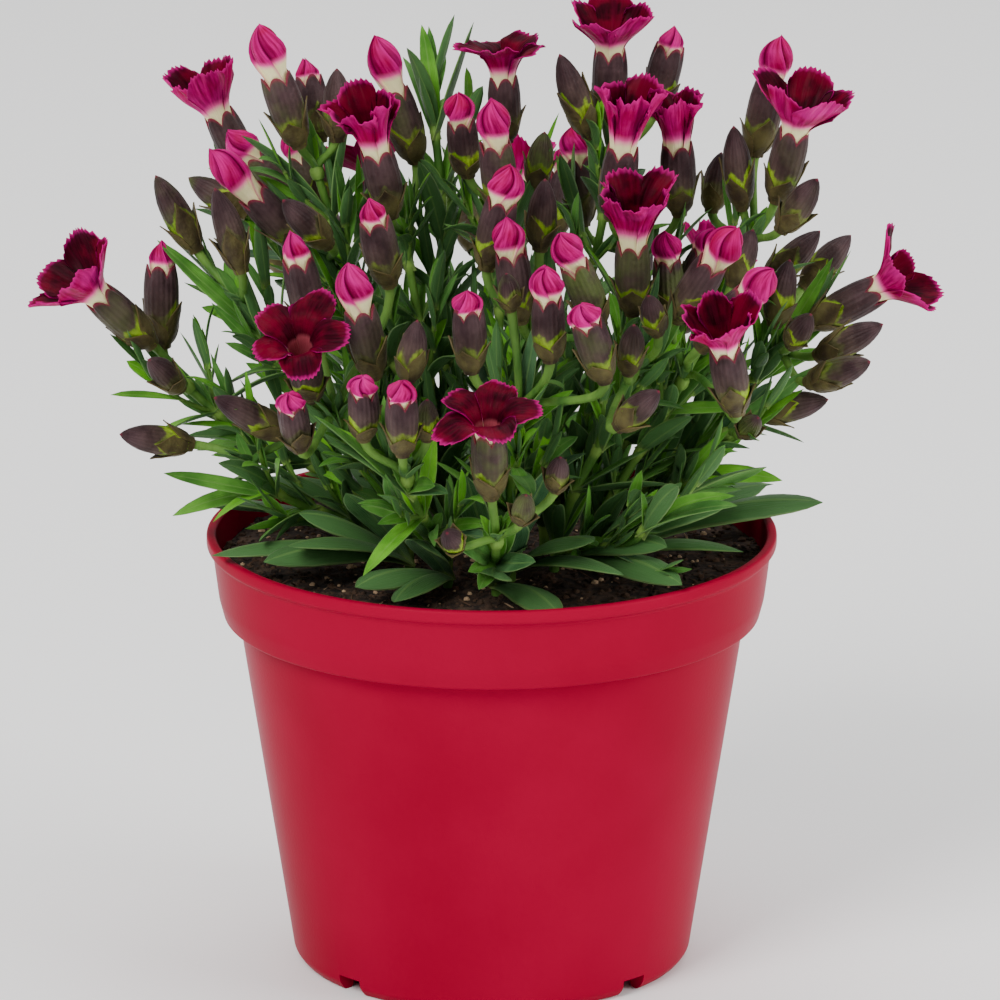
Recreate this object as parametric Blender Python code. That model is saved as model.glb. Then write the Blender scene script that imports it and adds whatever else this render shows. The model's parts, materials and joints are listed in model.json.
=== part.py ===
"""A dianthus in flower in its nursery pot.

The plant is laid out in millimetres: across (right is positive), back (away from the front) and up
from the pot's lip. Meshes are made from that layout at real size, in metres, standing on the ground.
"""
import math
import random

import bmesh
import bpy
import numpy as np
from mathutils import Matrix, Vector

MM = 0.001
WELD = 1.0e-6               # metres
SEED = 23
CLEAR = 0.35                # least gap between separate pieces
FLAT_ANGLE = 0.035          # radians; faces that meet at less than this are made one
SLIVER = 0.3                # edges shorter than this go after fusing
TURNED_EDGE = 38.0          # degrees; on turned pieces, edges sharper than this stay sharp
CALYX_EDGE = 76.0           # and on calyces, which have five sides

# Pot, in millimetres
POT_HEIGHT = 93.0
LIP_RADIUS = 60.0
BASE_RADIUS = 41.8
BODY_TOP_RADIUS = 53.4
BAND_HEIGHT = 17.8
BAND_TAPER = 2.4            # how much narrower the band is at its lower edge than at the lip
BAND_BEVEL = 4.2            # height of the band's lower bevel
WALL = 1.4
FLOOR_HEIGHT = 5.2          # the floor is raised between a foot ring and a foot in its middle
CENTRE_FOOT = 10.0
DRAIN_WIDTH = 6.0
DRAIN_HEIGHT = 3.6
DRAIN_COUNT = 4
POT_SIDES = 32

# Soil
SOIL_LEVEL = -6.0           # below the lip
SOIL_MOUND = 1.4
SOIL_ROUGHNESS = 0.6
SOIL_FLOOR = 7.0            # above the ground
SOIL_SIDES = 24
HOLE_RADIUS = 2.4
HOLE_DEPTH = 8.0

# Stems
STEM_RADIUS = 1.15
STALK_RADIUS = 0.85
STEM_SIDES = 4
STEM_STEPS = 6
SHOOT_TURN = 0.37           # turns each shoot's leaf pairs round its own stem
JOINT_HALF = 0.9            # half the height of the swelling at a joint
OWN_CLEAR = 0.3             # least gap between two leaves of one stem
STALK_STEPS = 2
SHORT_STALK = 8.0           # shorter stalks are straight
JOINT_SPACING = 11.5        # between two pairs of leaves
LEAF_LENGTH = 27.0
LEAF_HALF_WIDTH = 2.05
LEAF_KEEL = 0.85
SHORT_LEAF = 19.5           # shorter leaves need one bend fewer
LEAF_TRIES = 20
TIP_PAIR = 1.6              # a shoot without heads ends this far above its last pair
TIP_LEAN = 0.3              # and there leaves lean out this much of what they do at its foot
BASAL_HALF_WIDTH = 3.3
BASAL_REACH = 30.0          # stem feet this far out, in a leaf's own direction, suit it best

# Heads
CALYX_LENGTH = 15.0
CALYX_RADIUS = 3.7
SLIMMEST_CALYX = 1.6        # belly radius of the shortest, and how it grows with length
CALYX_SWELL = 0.145
BUD_SLIMNESS = 0.84         # a shut calyx against an open one of its length
CALYX_SHARE = {"small": 1.0, "bud": 1.0, "tipped": 0.72, "dome": 0.74}
OPEN_CALYX_SHARE = 0.62     # how much of a head is calyx
PETAL_LENGTH = 13.5
PETAL_HALF_WIDTH = 6.4
PETAL_TEETH = ((1.0, 0.5), (0.62, 0.98), (0.34, 0.8), (0.0, 1.04), (-0.34, 0.8), (-0.62, 0.98), (-1.0, 0.5))
TOOTH_RISE = 1.5
TOOTH_DROP = 0.9
MOUTH_DEPTH = 3.2
THROAT_RISE = 2.8           # from a calyx's mouth to where its petals part
PETAL_THICKNESS = 0.8
PETAL_POSE = {              # degrees by which a petal's near and far half lean out
    "open": (56.0, 34.0),
    "cup": (46.0, 18.0),
    "star": (42.0, 74.0),
    "flat": (52.0, 90.0),
    "crumpled": (27.0, 22.0),
}
ROLLED_SHAPES = {           # petals still rolled up: how far along and how wide their rings are
    "furled": ((0.28, 0.78), (0.64, 0.94)),
    "dome": ((0.66, 0.86),),
    "tipped": ((0.55, 0.7),),
}
ROLLED_TWIST = 0.5

# Each shoot: its joint, then its heads as kind, foot and tip. A head's tip is where it points to.
SHOOTS = {
    "far_left": ((-63, -2, 31), (
        ("open", (-71, -5, 42), (-90, -12, 62)),
        ("tipped", (-69, 5, 39), (-69, 6, 61)),
        ("bud", (-65, -11, 34), (-71, -18, 42)),
    )),
    "low_left": ((-49, -16, 17), (
        ("bud", (-63, -15, 23), (-77, -22, 27)),
        ("bud", (-43, -25, 28), (-57, -33, 38)),
    )),
    "mid_left": ((-50, -3, 47), (
        ("bud", (-62, 5, 60), (-70, 3, 76)),
        ("bud", (-52, -12, 60), (-57, -16, 78)),
        ("small", (-54, 3, 59), (-55, 4, 67)),
    )),
    "upper_left": ((-33, 4, 54), (
        ("furled", (-40, 0, 62), (-58, -8, 84)),
        ("furled", (-40, 12, 67), (-55, 12, 83)),
        ("furled", (-35, 20, 65), (-43, 24, 80)),
        ("bud", (-34, -11, 65), (-43, -18, 76)),
    )),
    "high_left": ((-44, 30, 56), (
        ("cup", (-51, 30, 68), (-62, 30, 92)),
        ("bud", (-52, 22, 63), (-64, 25, 70)),
    )),
    "back_left": ((-30, 46, 34), (
        ("open", (-33, 56, 44), (-40, 69, 60)),
        ("tipped", (-22, 58, 44), (-22, 72, 60)),
        ("bud", (-42, 50, 42), (-54, 58, 54)),
    )),
    "top_left": ((-36, 1, 76), (
        ("furled", (-40, -2, 84), (-48, -6, 110)),
        ("tipped", (-36, 9, 82), (-39, 14, 98)),
        ("bud", (-32, -1, 85), (-32, -2, 100)),
    )),
    "high_mid": ((-18, 4, 60), (
        ("furled", (-16, 13, 77), (-24, 10, 104)),
        ("crumpled", (-21, -10, 71), (-26, -19, 97)),
        ("open", (-22, 20, 60), (-26, 28, 75)),
    )),
    "front_left": ((-31, -26, 30), (
        ("furled", (-24, -37, 44), (-29, -44, 69)),
        ("flat", (-37, -33, 38), (-40, -45, 56)),
        ("tipped", (-36, -20, 47), (-41, -26, 71)),
        ("dome", (-39, -50, 32), (-41, -56, 45)),
        ("tipped", (-21, -24, 60), (-25, -30, 79)),
    )),
    "front_mid": ((-17, -48, 24), (
        ("dome", (-26, -56, 36), (-26, -61, 50)),
        ("dome", (-18, -60, 34), (-18, -65, 50)),
        ("bud", (-13, -53, 35), (-13, -56, 44)),
        ("bud", (-17, -48, 46), (-15, -50, 59)),
    )),
    "front": ((1, -52, 12), (
        ("flat", (0, -60, 25), (-1, -67, 47)),
        ("small", (6, -62, 20), (7, -67, 27)),
        ("small", (-7, -60, 14), (-9, -67, 19)),
        ("small", (13, -56, 25), (14, -60, 33)),
    )),
    "mid": ((5, -37, 34), (
        ("dome", (-4, -48, 48), (-5, -51, 65)),
        ("furled", (12, -47, 50), (11, -50, 70)),
        ("dome", (23, -51, 47), (18, -57, 64)),
        ("small", (4, -45, 60), (3, -47, 68)),
    )),
    "mid_high": ((8, -22, 44), (
        ("furled", (6, -31, 54), (3, -34, 76)),
        ("furled", (22, -34, 54), (14, -39, 74)),
        ("furled", (-1, -26, 64), (4, -30, 86)),
        ("bud", (10, -18, 66), (11, -20, 81)),
    )),
    "mid_right": ((29, -21, 38), (
        ("crumpled", (29, -20, 53), (29, -28, 82)),
        ("bud", (28, -42, 46), (29, -46, 57)),
        ("bud", (34, -34, 52), (32, -38, 61)),
        ("bud", (26, -51, 37), (34, -57, 46)),
        ("furled", (37, -12, 50), (36, -14, 68)),
    )),
    "right_front": ((39, -17, 36), (
        ("furled", (40, -6, 52), (46, -8, 67)),
        ("furled", (38, -26, 53), (50, -34, 74)),
        ("bud", (50, -13, 57), (54, -15, 69)),
        ("furled", (43, -37, 50), (57, -45, 68)),
        ("cup", (50, -43, 38), (46, -52, 61)),
    )),
    "far_right": ((58, -2, 37), (
        ("open", (67, 0, 45), (89, -4, 58)),
        ("bud", (68, -11, 41), (81, -16, 49)),
        ("bud", (66, -18, 37), (78, -27, 44)),
        ("small", (62, -14, 44), (66, -19, 52)),
        ("bud", (59, -4, 46), (62, -5, 60)),
        ("bud", (58, 12, 51), (69, 15, 61)),
        ("bud", (66, 22, 47), (76, 27, 57)),
    )),
    "low_right": ((48, -14, 24), (
        ("bud", (56, -10, 28), (70, -13, 32)),
        ("small", (52, -22, 27), (55, -27, 32)),
    )),
    "high_right": ((53, -2, 60), (
        ("open", (59, -5, 73), (66, -11, 102)),
        ("furled", (55, 7, 80), (60, 5, 105)),
        ("bud", (52, -2, 71), (50, -7, 89)),
        ("bud", (46, 9, 67), (48, 11, 79)),
        ("bud", (60, -14, 69), (67, -20, 81)),
    )),
    "top_right": ((25, 4, 76), (
        ("open", (24, 8, 86), (25, 5, 113)),
        ("bud", (20, -1, 86), (14, -6, 104)),
        ("tipped", (34, 9, 88), (38, 9, 106)),
    )),
    "upper_right": ((30, -3, 56), (
        ("crumpled", (25, -11, 71), (29, -19, 101)),
        ("crumpled", (39, 0, 69), (38, -5, 92)),
        ("furled", (19, 13, 63), (17, 16, 83)),
    )),
    "top": ((2, 1, 66), (
        ("star", (3, 10, 82), (2, 9, 102)),
        ("furled", (-5, -4, 78), (-7, -8, 96)),
        ("furled", (2, -12, 72), (0, -18, 97)),
        ("bud", (9, -2, 75), (11, -4, 87)),
    )),
    "back": ((4, 48, 34), (
        ("open", (5, 59, 46), (5, 73, 63)),
        ("furled", (13, 54, 50), (17, 62, 68)),
        ("bud", (-4, 58, 46), (-7, 70, 56)),
    )),
    "back_right": ((33, 40, 22), (
        ("open", (40, 50, 30), (50, 62, 46)),
        ("tipped", (30, 52, 34), (32, 66, 48)),
        ("bud", (46, 42, 30), (60, 49, 40)),
    )),
    "tall_leafy": ((-12, 15, 84), ()),
    "low_leafy_right": ((32, -38, 12), ()),
    "back_leafy": ((14, 66, 16), ()),
}

# Each stem that leaves the soil: where it stands, and the shoots that it carries
STEMS = (
    ("left", (-21, -2), ("far_left", "low_left")),
    ("inner_left", (-15, 4), ("mid_left", "upper_left")),
    ("back_left", (-16, 20), ("high_left", "back_left")),
    ("top_left", (-9, 2), ("top_left", "high_mid", "tall_leafy")),
    ("front_left", (-17, -14), ("front_left",)),
    ("front_mid", (-9, -24), ("front_mid",)),
    ("front", (1, -30), ("front",)),
    ("mid", (4, -20), ("mid",)),
    ("mid_high", (3, -11), ("mid_high",)),
    ("mid_right", (13, -14), ("mid_right", "low_leafy_right")),
    ("right_front", (21, -12), ("right_front",)),
    ("right", (28, -3), ("far_right", "low_right")),
    ("high_right", (20, 1), ("high_right",)),
    ("top_right", (11, 0), ("top_right", "upper_right")),
    ("top", (2, 4), ("top",)),
    ("back", (4, 26), ("back", "back_right", "back_leafy")),
)

# Broad leaves low down: where each one's tip lies
BASAL_TIPS = (
    (39, -47, 2), (14, -52, -3), (-7, -55, -3), (-20, -46, -2), (-28, -42, 0), (52, -30, 4),
    (58, 6, 8), (69, -14, 10), (57, -22, 20), (-62, -18, -3), (-64, 2, 5), (-58, -26, 2),
    (-47, -34, 3), (27, -50, 5), (-52, 24, 4), (-36, 46, 3), (-12, 56, 2), (16, 58, -2),
    (44, 44, 4), (60, 24, 3), (30, 52, 6), (64, 10, 2),
    (-30, -31, 17), (5, -46, 15), (21, -46, 11), (-16, -42, 10), (33, -31, 16), (46, -8, 22),
    (-45, -8, 15), (-40, -22, 10), (49, -20, 11), (-5, -36, 22), (40, 8, 28), (-42, 12, 20),
    (-42, -36, 7), (36, -40, 8), (12, -36, 24), (-24, 26, 22), (26, 22, 20), (0, -54, 6),
)


def unit(vector):
    """The direction of a vector."""
    return vector.normalized()


def across(axis, turn):
    """A direction at right angles to an axis, turned round it."""
    side = axis.cross(Vector((0.0, 0.0, 1.0)))
    if side.length < 0.05:
        side = Vector((1.0, 0.0, 0.0))
    side = unit(side - axis * side.dot(axis))
    return side * math.cos(turn) + axis.cross(side) * math.sin(turn)


def bezier(start, lead, trail, end, count):
    """Points along a cubic curve."""
    points = []
    for index in range(count + 1):
        t = index / count
        s = 1.0 - t
        points.append(start * s ** 3 + lead * (3 * s * s * t) + trail * (3 * s * t * t) + end * t ** 3)
    return points


def beads(points, radius):
    """A line of points as beads of one radius, close enough together to leave no gap."""
    found = []
    for start, end in zip(points, points[1:]):
        steps = max(1, int((end - start).length / 1.2))
        for index in range(steps + 1):
            place = start.lerp(end, index / steps)
            found.append((place.x, place.y, place.z, radius))
    return found


def head_parts(row):
    """Foot, mouth, axis and length of one head's calyx."""
    kind, foot, tip = row
    foot = Vector(foot)
    reach = Vector(tip) - foot
    axis = unit(reach)
    if kind in CALYX_SHARE:
        length = reach.length * CALYX_SHARE[kind]
    else:
        length = min(reach.length * OPEN_CALYX_SHARE, CALYX_LENGTH)
    return foot, foot + axis * length, axis, length


def calyx_radius(row):
    """Radius of the room kept for one head's calyx: short ones are slimmer."""
    return min(CALYX_RADIUS, SLIMMEST_CALYX + head_parts(row)[3] * CALYX_SWELL)


def belly_radius(row):
    """Greatest radius of one head's calyx: shut ones are slimmer than their room."""
    return calyx_radius(row) * (BUD_SLIMNESS if row[0] in ("bud", "small") else 1.0)


def is_open(kind):
    """Whether a head shows a whorl of spread petals."""
    return kind in PETAL_POSE


def petal_lines(row):
    """Throat, middle and edge of each of a flower's five petals, with its outward and side ways."""
    kind = row[0]
    foot, mouth, axis, length = head_parts(row)
    draw = random.Random(SEED + round(foot.x) * 101 + round(foot.y) * 7 + round(foot.z))
    reach = (Vector(row[2]) - mouth).length
    size = min(1.0, max(0.78, reach / PETAL_LENGTH))
    turn = draw.uniform(0.0, math.tau)
    petals = []
    for index in range(5):
        out = across(axis, turn + math.tau * index / 5)
        near, far = PETAL_POSE[kind]
        spread = draw.uniform(-8.0, 8.0)
        near = math.radians(near + spread * 0.5)
        far = math.radians(far + spread)
        throat = mouth + axis * THROAT_RISE + out * 1.3
        half = PETAL_LENGTH * size * draw.uniform(0.46, 0.54)
        middle = throat + (axis * math.cos(near) + out * math.sin(near)) * half
        edge = middle + (axis * math.cos(far) + out * math.sin(far)) * half
        petals.append((throat, middle, edge, out, axis.cross(out), size))
    return petals


def head_beads(row):
    """Beads that fill one head: its calyx and its petals."""
    kind = row[0]
    foot, mouth, axis, length = head_parts(row)
    radius = calyx_radius(row)
    found = beads([foot, foot.lerp(mouth, 0.3)], radius * 0.8)
    found += beads([foot.lerp(mouth, 0.3), foot.lerp(mouth, 0.85)], radius)
    found += beads([foot.lerp(mouth, 0.85), mouth], radius * 0.75)
    if is_open(kind):
        for throat, middle, edge, out, side, size in petal_lines(row):
            found += beads([throat, middle], 1.4)
            for lateral in (-0.62, 0.0, 0.62):
                shift = side * (PETAL_HALF_WIDTH * size * lateral)
                found += beads([middle + shift * 0.8, edge + shift], 1.5)
    elif kind in ("furled", "dome", "tipped"):
        found += beads([mouth, Vector(row[2]) - axis], radius * 0.62)
    return found


def stalk_points(joint, aim, row):
    """The stalk from a shoot's joint to the foot of one of its heads."""
    foot, mouth, axis, length = head_parts(row)
    start = joint + aim * 1.0
    reach = (foot - start).length
    return bezier(start, start + aim * (reach * 0.35), foot - axis * (reach * 0.4), foot, STALK_STEPS)


def shoot_aim(name):
    """The way in which a shoot's joint points: between its heads and straight up."""
    joint, heads = SHOOTS[name]
    joint = Vector(joint)
    aim = Vector((joint.x * 0.012, joint.y * 0.012, 1.0))
    for row in heads:
        aim += unit(Vector(row[1]) - joint) * (1.2 / len(heads))
    return unit(aim)


def stem_routes(stem):
    """The way of each of a stem's shoots, from the soil or from the first shoot up to its joint."""
    name, (root_x, root_y), shoots = stem
    root = Vector((root_x, root_y, SOIL_LEVEL - HOLE_DEPTH + 1.0))
    collar = Vector((root_x, root_y, SOIL_LEVEL + 2.5))
    routes = {}
    first = None
    for index, shoot in enumerate(shoots):
        joint = Vector(SHOOTS[shoot][0])
        aim = shoot_aim(shoot)
        end = joint - aim * CLEAR
        if first is None:
            reach = (end - collar).length
            lead = collar + Vector((0.0, 0.0, reach * 0.3))
            points = [root] + bezier(collar, lead, end - aim * (reach * 0.33), end, STEM_STEPS)
            first = points
        else:
            start = first[1].lerp(first[2], 0.25 + 0.5 * (index - 1))
            reach = (end - start).length
            way = unit(unit(end - start) + Vector((0.0, 0.0, 0.35)))
            points = bezier(start, start + way * (reach * 0.3), end - aim * (reach * 0.33), end, STEM_STEPS)
        routes[shoot] = points
    return routes


def line_length(points):
    """Length of a line through points."""
    return sum((b - a).length for a, b in zip(points, points[1:]))


def point_along(points, distance):
    """Place, direction and nearest point before it, at a distance along a line through points."""
    for index, (start, end) in enumerate(zip(points, points[1:])):
        step = (end - start).length
        if distance <= step:
            return start.lerp(end, distance / step), unit(end - start), index
        distance -= step
    return points[-1].copy(), unit(points[-1] - points[-2]), len(points) - 2


def blade_point(blade, t):
    """Middle of a blade at t, from 0 at its root to 1 at its tip."""
    root, aim, bend, side, length, half_width = blade
    return root + aim * (length * t) + bend * (length * t * t)


def blade_beads(blade):
    """Beads along the middle and the two edges of a blade, past its root."""
    root, aim, bend, side, length, half_width = blade
    found = []
    for lateral in (-0.8, 0.0, 0.8):
        line = []
        for t in (0.2, 0.35, 0.5, 0.65, 0.8, 1.0):
            shift = side * (half_width * lateral * min(1.0, 2.6 * (1.0 - t)))
            line.append(blade_point(blade, t) + shift)
        found += beads(line, 0.5)
    return found


def blade(root, axis, out, lift, length, half_width, droop, sweep):
    """One leaf: it leaves its stem at a lift from it, bends down by droop and sideways by sweep."""
    aim = unit(axis * math.cos(lift) + out * math.sin(lift))
    side = unit(axis.cross(out))
    bend = out * (0.25 * droop) + side * sweep - Vector((0.0, 0.0, droop))
    return root, aim, bend, side, length, half_width


def clear_of(found, taken):
    """Least gap between two sets of beads."""
    if len(taken) == 0:
        return 99.0
    mine = np.array(found)
    reach = mine[:, 3].max() + taken[:, 3].max() + 3.0
    low = mine[:, :3].min(axis=0) - reach
    high = mine[:, :3].max(axis=0) + reach
    near = taken[np.all((taken[:, :3] > low) & (taken[:, :3] < high), axis=1)]
    if len(near) == 0:
        return 99.0
    gaps = np.linalg.norm(mine[:, None, :3] - near[None, :, :3], axis=2)
    return float((gaps - mine[:, None, 3] - near[None, :, 3]).min())


def clear_of_pot(found):
    """Whether beads stay above the soil and clear of the pot's lip and side."""
    for x, y, z, radius in found:
        out = math.hypot(x, y)
        if out < LIP_RADIUS - 5.0:
            if z - radius < SOIL_LEVEL + SOIL_MOUND + SOIL_ROUGHNESS + CLEAR:
                return False
        elif out < LIP_RADIUS + 2.0:
            if z - radius < 0.6:
                return False
    return True


def place_blade(stem, place, axis, out, length, width, lean, crowd, draw):
    """One leaf, lifted and bent until it is clear of what is already there; None if it never is."""
    name = stem[0]
    taken = crowd.others(name)
    for attempt in range(LEAF_TRIES):
        lift = math.radians(draw.uniform(26.0, 54.0)) * lean
        size = length * (1.0 - 0.03 * attempt)
        droop = draw.uniform(0.02, 0.34)
        sweep = draw.uniform(-0.08, 0.08) * (1.0 + 0.6 * attempt)
        leaf = blade(place, axis, out, lift, size, width, droop, sweep)
        found = blade_beads(leaf)
        if not clear_of_pot(found) or clear_of(found, taken) < CLEAR + 0.15:
            continue
        if clear_of(found, crowd.own(name)) < OWN_CLEAR:
            continue
        crowd.add(name, found)
        return leaf
    return None


def shoot_pairs(stem, shoot, points, crowd):
    """The joints of one shoot: how far along each is, and its two leaves by the stem's side."""
    draw = random.Random(SEED + sum(ord(letter) for letter in shoot))
    frames = ring_frames(points)
    whole = line_length(points)
    leafy = not SHOOTS[shoot][1]
    along = 13.0 if points[0].z < SOIL_LEVEL else 7.0
    joints = []
    while along < whole - 2.4:
        joints.append(along)
        along += JOINT_SPACING * draw.uniform(0.85, 1.15)
    if leafy:
        joints = [along for along in joints if along < whole - 5.0] + [whole - TIP_PAIR]
    pairs = []
    for along in joints:
        place, axis, index = point_along(points, along)
        share = along / whole
        length = LEAF_LENGTH * (1.04 - 0.42 * share) * draw.uniform(0.86, 1.14)
        width = LEAF_HALF_WIDTH * (1.25 - 0.5 * share)
        lean = 1.0
        if leafy:
            length = LEAF_LENGTH * draw.uniform(0.85, 1.05)
            lean = 1.0 - (1.0 - TIP_LEAN) * share ** 2
        leaves = {}
        for side in (len(pairs) % 2, len(pairs) % 2 + 2):
            turn = SHOOT_TURN * len(shoot) + math.tau * (side + 0.5) / STEM_SIDES
            out = frames[index][0] * math.cos(turn) + frames[index][1] * math.sin(turn)
            out = unit(out - axis * out.dot(axis))
            leaf = place_blade(stem, place, axis, out, length, width, lean, crowd, draw)
            if leaf:
                leaves[side] = leaf
        pairs.append((along, leaves))
    return pairs


def basal_blade(root, tip, rise):
    """One broad low leaf, which rises from its stem and comes down at its tip."""
    reach = tip - root
    aim = unit(reach) + Vector((0.0, 0.0, rise))
    bend = Vector((0.0, 0.0, -rise))
    side = unit(reach.cross(Vector((0.0, 0.0, 1.0))))
    return root, aim, bend, side, reach.length, BASAL_HALF_WIDTH


class Crowd:
    """What every node already fills, as beads, so that the next piece can be kept clear of it."""

    def __init__(self):
        self.beads = {}

    def add(self, name, found):
        self.beads.setdefault(name, []).extend(found)

    def own(self, name):
        return np.array(self.beads[name])

    def others(self, name):
        return np.array([bead for owner, found in self.beads.items() if owner != name for bead in found])


def crowd_of_heads():
    """The space of all heads and their stalks, by shoot."""
    crowd = Crowd()
    for shoot, (joint, heads) in SHOOTS.items():
        if not heads:
            continue
        aim = shoot_aim(shoot)
        joint = Vector(joint)
        for row in heads:
            crowd.add("heads_" + shoot, head_beads(row))
            crowd.add("heads_" + shoot, beads(stalk_points(joint, aim, row), STALK_RADIUS + 0.2))
        crowd.add("heads_" + shoot, beads([joint, joint + aim * 2.2], 1.7))
    return crowd


def plan_basal(crowd, blades):
    """The broad low leaves, each on the nearest stem from which it can lie clear."""
    for tip in BASAL_TIPS:
        tip = Vector(tip)
        way = unit(Vector((tip.x, tip.y, 0.0)))
        nearest = sorted(STEMS, key=lambda stem: (Vector((*stem[1], 0.0)) - way * BASAL_REACH).length)
        for stem in nearest[:4]:
            name, place, shoots = stem
            taken = crowd.others(name)
            leaf = None
            for attempt in range(10):
                root = Vector((*place, SOIL_LEVEL + 3.0 + attempt * 0.4))
                trial = basal_blade(root, tip, 0.32 + 0.14 * attempt)
                found = blade_beads(trial)
                if clear_of_pot(found) and clear_of(found, taken) > CLEAR + 0.15:
                    leaf = trial
                    break
            if leaf:
                blades[name].append(leaf)
                crowd.add(name, blade_beads(leaf))
                break


def lay_out():
    """Routes, leaf pairs and low leaves of every stem, each leaf clear of every other node."""
    crowd = crowd_of_heads()
    routes = {stem[0]: stem_routes(stem) for stem in STEMS}
    for stem in STEMS:
        for points in routes[stem[0]].values():
            crowd.add(stem[0], beads(points, STEM_RADIUS + 0.1))
    low_leaves = {stem[0]: [] for stem in STEMS}
    plan_basal(crowd, low_leaves)
    pairs = {}
    for stem in STEMS:
        for shoot, points in routes[stem[0]].items():
            pairs[shoot] = shoot_pairs(stem, shoot, points, crowd)
    return routes, pairs, low_leaves


def finish(name, red, green, blue, roughness):
    """A plain finish of one colour."""
    material = bpy.data.materials.new(name)
    material.use_nodes = True
    shader = material.node_tree.nodes["Principled BSDF"]
    shader.inputs["Base Color"].default_value = (red, green, blue, 1.0)
    shader.inputs["Roughness"].default_value = roughness
    shader.inputs["Metallic"].default_value = 0.0
    return material


def solid(name, points, faces):
    """A mesh object from points in millimetres above the ground, with its faces turned outwards."""
    mesh = bpy.data.meshes.new(name)
    mesh.from_pydata([tuple(Vector(point) * MM) for point in points], [], faces)
    work = bmesh.new()
    work.from_mesh(mesh)
    bmesh.ops.recalc_face_normals(work, faces=work.faces)
    bmesh.ops.triangulate(work, faces=work.faces)
    work.to_mesh(mesh)
    work.free()
    obj = bpy.data.objects.new(name, mesh)
    bpy.context.scene.collection.objects.link(obj)
    return obj


def plant_solid(name, points, faces):
    """A mesh object from points of the plant's layout."""
    return solid(name, [point + Vector((0.0, 0.0, POT_HEIGHT)) for point in points], faces)


def ring_frames(points):
    """For each point of a line, two directions across it that turn as little as possible."""
    frames = []
    normal = None
    for index, point in enumerate(points):
        before = points[max(0, index - 1)]
        after = points[min(len(points) - 1, index + 1)]
        tangent = unit(after - before)
        if normal is None:
            normal = across(tangent, 0.0)
        normal = unit(normal - tangent * normal.dot(tangent))
        frames.append((normal, tangent.cross(normal)))
    return frames


def loft(name, points, radii, sides, turn=0.0):
    """A closed tube through points, with one radius at each; a last radius of 0 ends it in a point."""
    pointed = radii[-1] == 0.0
    corners = []
    for point, radius, frame in zip(points, radii, ring_frames(points)):
        for side in range(sides):
            angle = math.tau * side / sides + turn
            corners.append(point + (frame[0] * math.cos(angle) + frame[1] * math.sin(angle)) * radius)
    rings = len(points)
    if pointed:
        rings -= 1
        del corners[rings * sides + 1:]
    faces = []
    for ring in range(rings - 1):
        for side in range(sides):
            a = ring * sides + side
            b = ring * sides + (side + 1) % sides
            faces.append((a, b, b + sides, a + sides))
    faces.append(tuple(range(sides)))
    last = (rings - 1) * sides
    if pointed:
        faces += [(last + side, last + (side + 1) % sides, last + sides) for side in range(sides)]
    else:
        faces.append(tuple(range(last, last + sides)))
    return plant_solid(name, corners, faces)


def leaf_rings(leaf):
    """Sections of a keeled leaf beyond its root, each with two edges and a keel, and then its tip."""
    root, aim, bend, side, length, half_width = leaf
    stations = ((0.34, 1.0), (0.7, 0.74))
    if length < SHORT_LEAF:
        stations = ((0.45, 1.0),)
    rings = []
    for t, share in stations:
        middle = blade_point(leaf, t)
        tangent = unit(aim + bend * (2.0 * t))
        under = unit(side.cross(tangent))
        edge = side * (half_width * share)
        rings.append((middle - edge, middle + edge, middle + under * LEAF_KEEL))
    return rings, blade_point(leaf, 1.0)


def leaf_faces(first, count):
    """Faces between a leaf's sections, three corners each from a first corner on, and its tip."""
    faces = []
    for ring in range(first, first + 3 * (count - 1), 3):
        for k in range(3):
            a = ring + k
            b = ring + (k + 1) % 3
            faces.append((a, b, b + 3, a + 3))
    last = first + 3 * (count - 1)
    faces += [(last + k, last + (k + 1) % 3, last + 3) for k in range(3)]
    return faces


def leaf_solid(leaf):
    """A leaf on its own, with a narrow root for fusing."""
    root, aim, bend, side, length, half_width = leaf
    rings, tip = leaf_rings(leaf)
    under = unit(side.cross(aim))
    edge = side * (half_width * 0.4)
    rings.insert(0, (root - edge, root + edge, root + under * LEAF_KEEL * 0.7))
    corners = [corner for ring in rings for corner in ring] + [tip]
    return plant_solid("leaf", corners, [(0, 1, 2)] + leaf_faces(0, len(rings)))


def shoot_solid(shoot, points, pairs):
    """A four-sided shoot whose leaves grow out of its sides at swollen joints."""
    turn = SHOOT_TURN * len(shoot)
    frames = ring_frames(points)
    whole = line_length(points)
    stops = [(0.0, None)]
    for along, leaves in pairs:
        stops += [(along - JOINT_HALF, leaves), (along + JOINT_HALF, None)]
    stops.append((whole, None))
    corners = []
    faces = [(0, 1, 2, 3)]
    for along, leaves in stops:
        place, axis, index = point_along(points, min(along, whole - 0.001))
        radius = STEM_RADIUS * (1.08 - 0.24 * along / whole)
        for side in range(STEM_SIDES):
            angle = math.tau * side / STEM_SIDES + turn
            way = frames[index][0] * math.cos(angle) + frames[index][1] * math.sin(angle)
            corners.append(place + unit(way - axis * way.dot(axis)) * radius)
    for ring, (along, leaves) in enumerate(stops[:-1]):
        for side in range(STEM_SIDES):
            a = ring * STEM_SIDES + side
            b = ring * STEM_SIDES + (side + 1) % STEM_SIDES
            c = b + STEM_SIDES
            d = a + STEM_SIDES
            if not leaves or side not in leaves:
                faces.append((a, b, c, d))
                continue
            leaf = leaves[side]
            rings, tip = leaf_rings(leaf)
            first = len(corners)
            corners += [corner for section in rings for corner in section] + [tip]
            left, right, keel = first, first + 1, first + 2
            if (corners[b] - corners[a]).dot(leaf[3]) < 0.0:
                left, right = right, left
            faces += [(d, c, right), (d, right, left), (c, b, right), (b, keel, right)]
            faces += [(a, d, left), (a, left, keel), (a, b, keel)]
            faces += leaf_faces(first, len(rings))
    last = (len(stops) - 1) * STEM_SIDES
    faces.append(tuple(range(last, last + STEM_SIDES)))
    return plant_solid("shoot", corners, faces)


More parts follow.
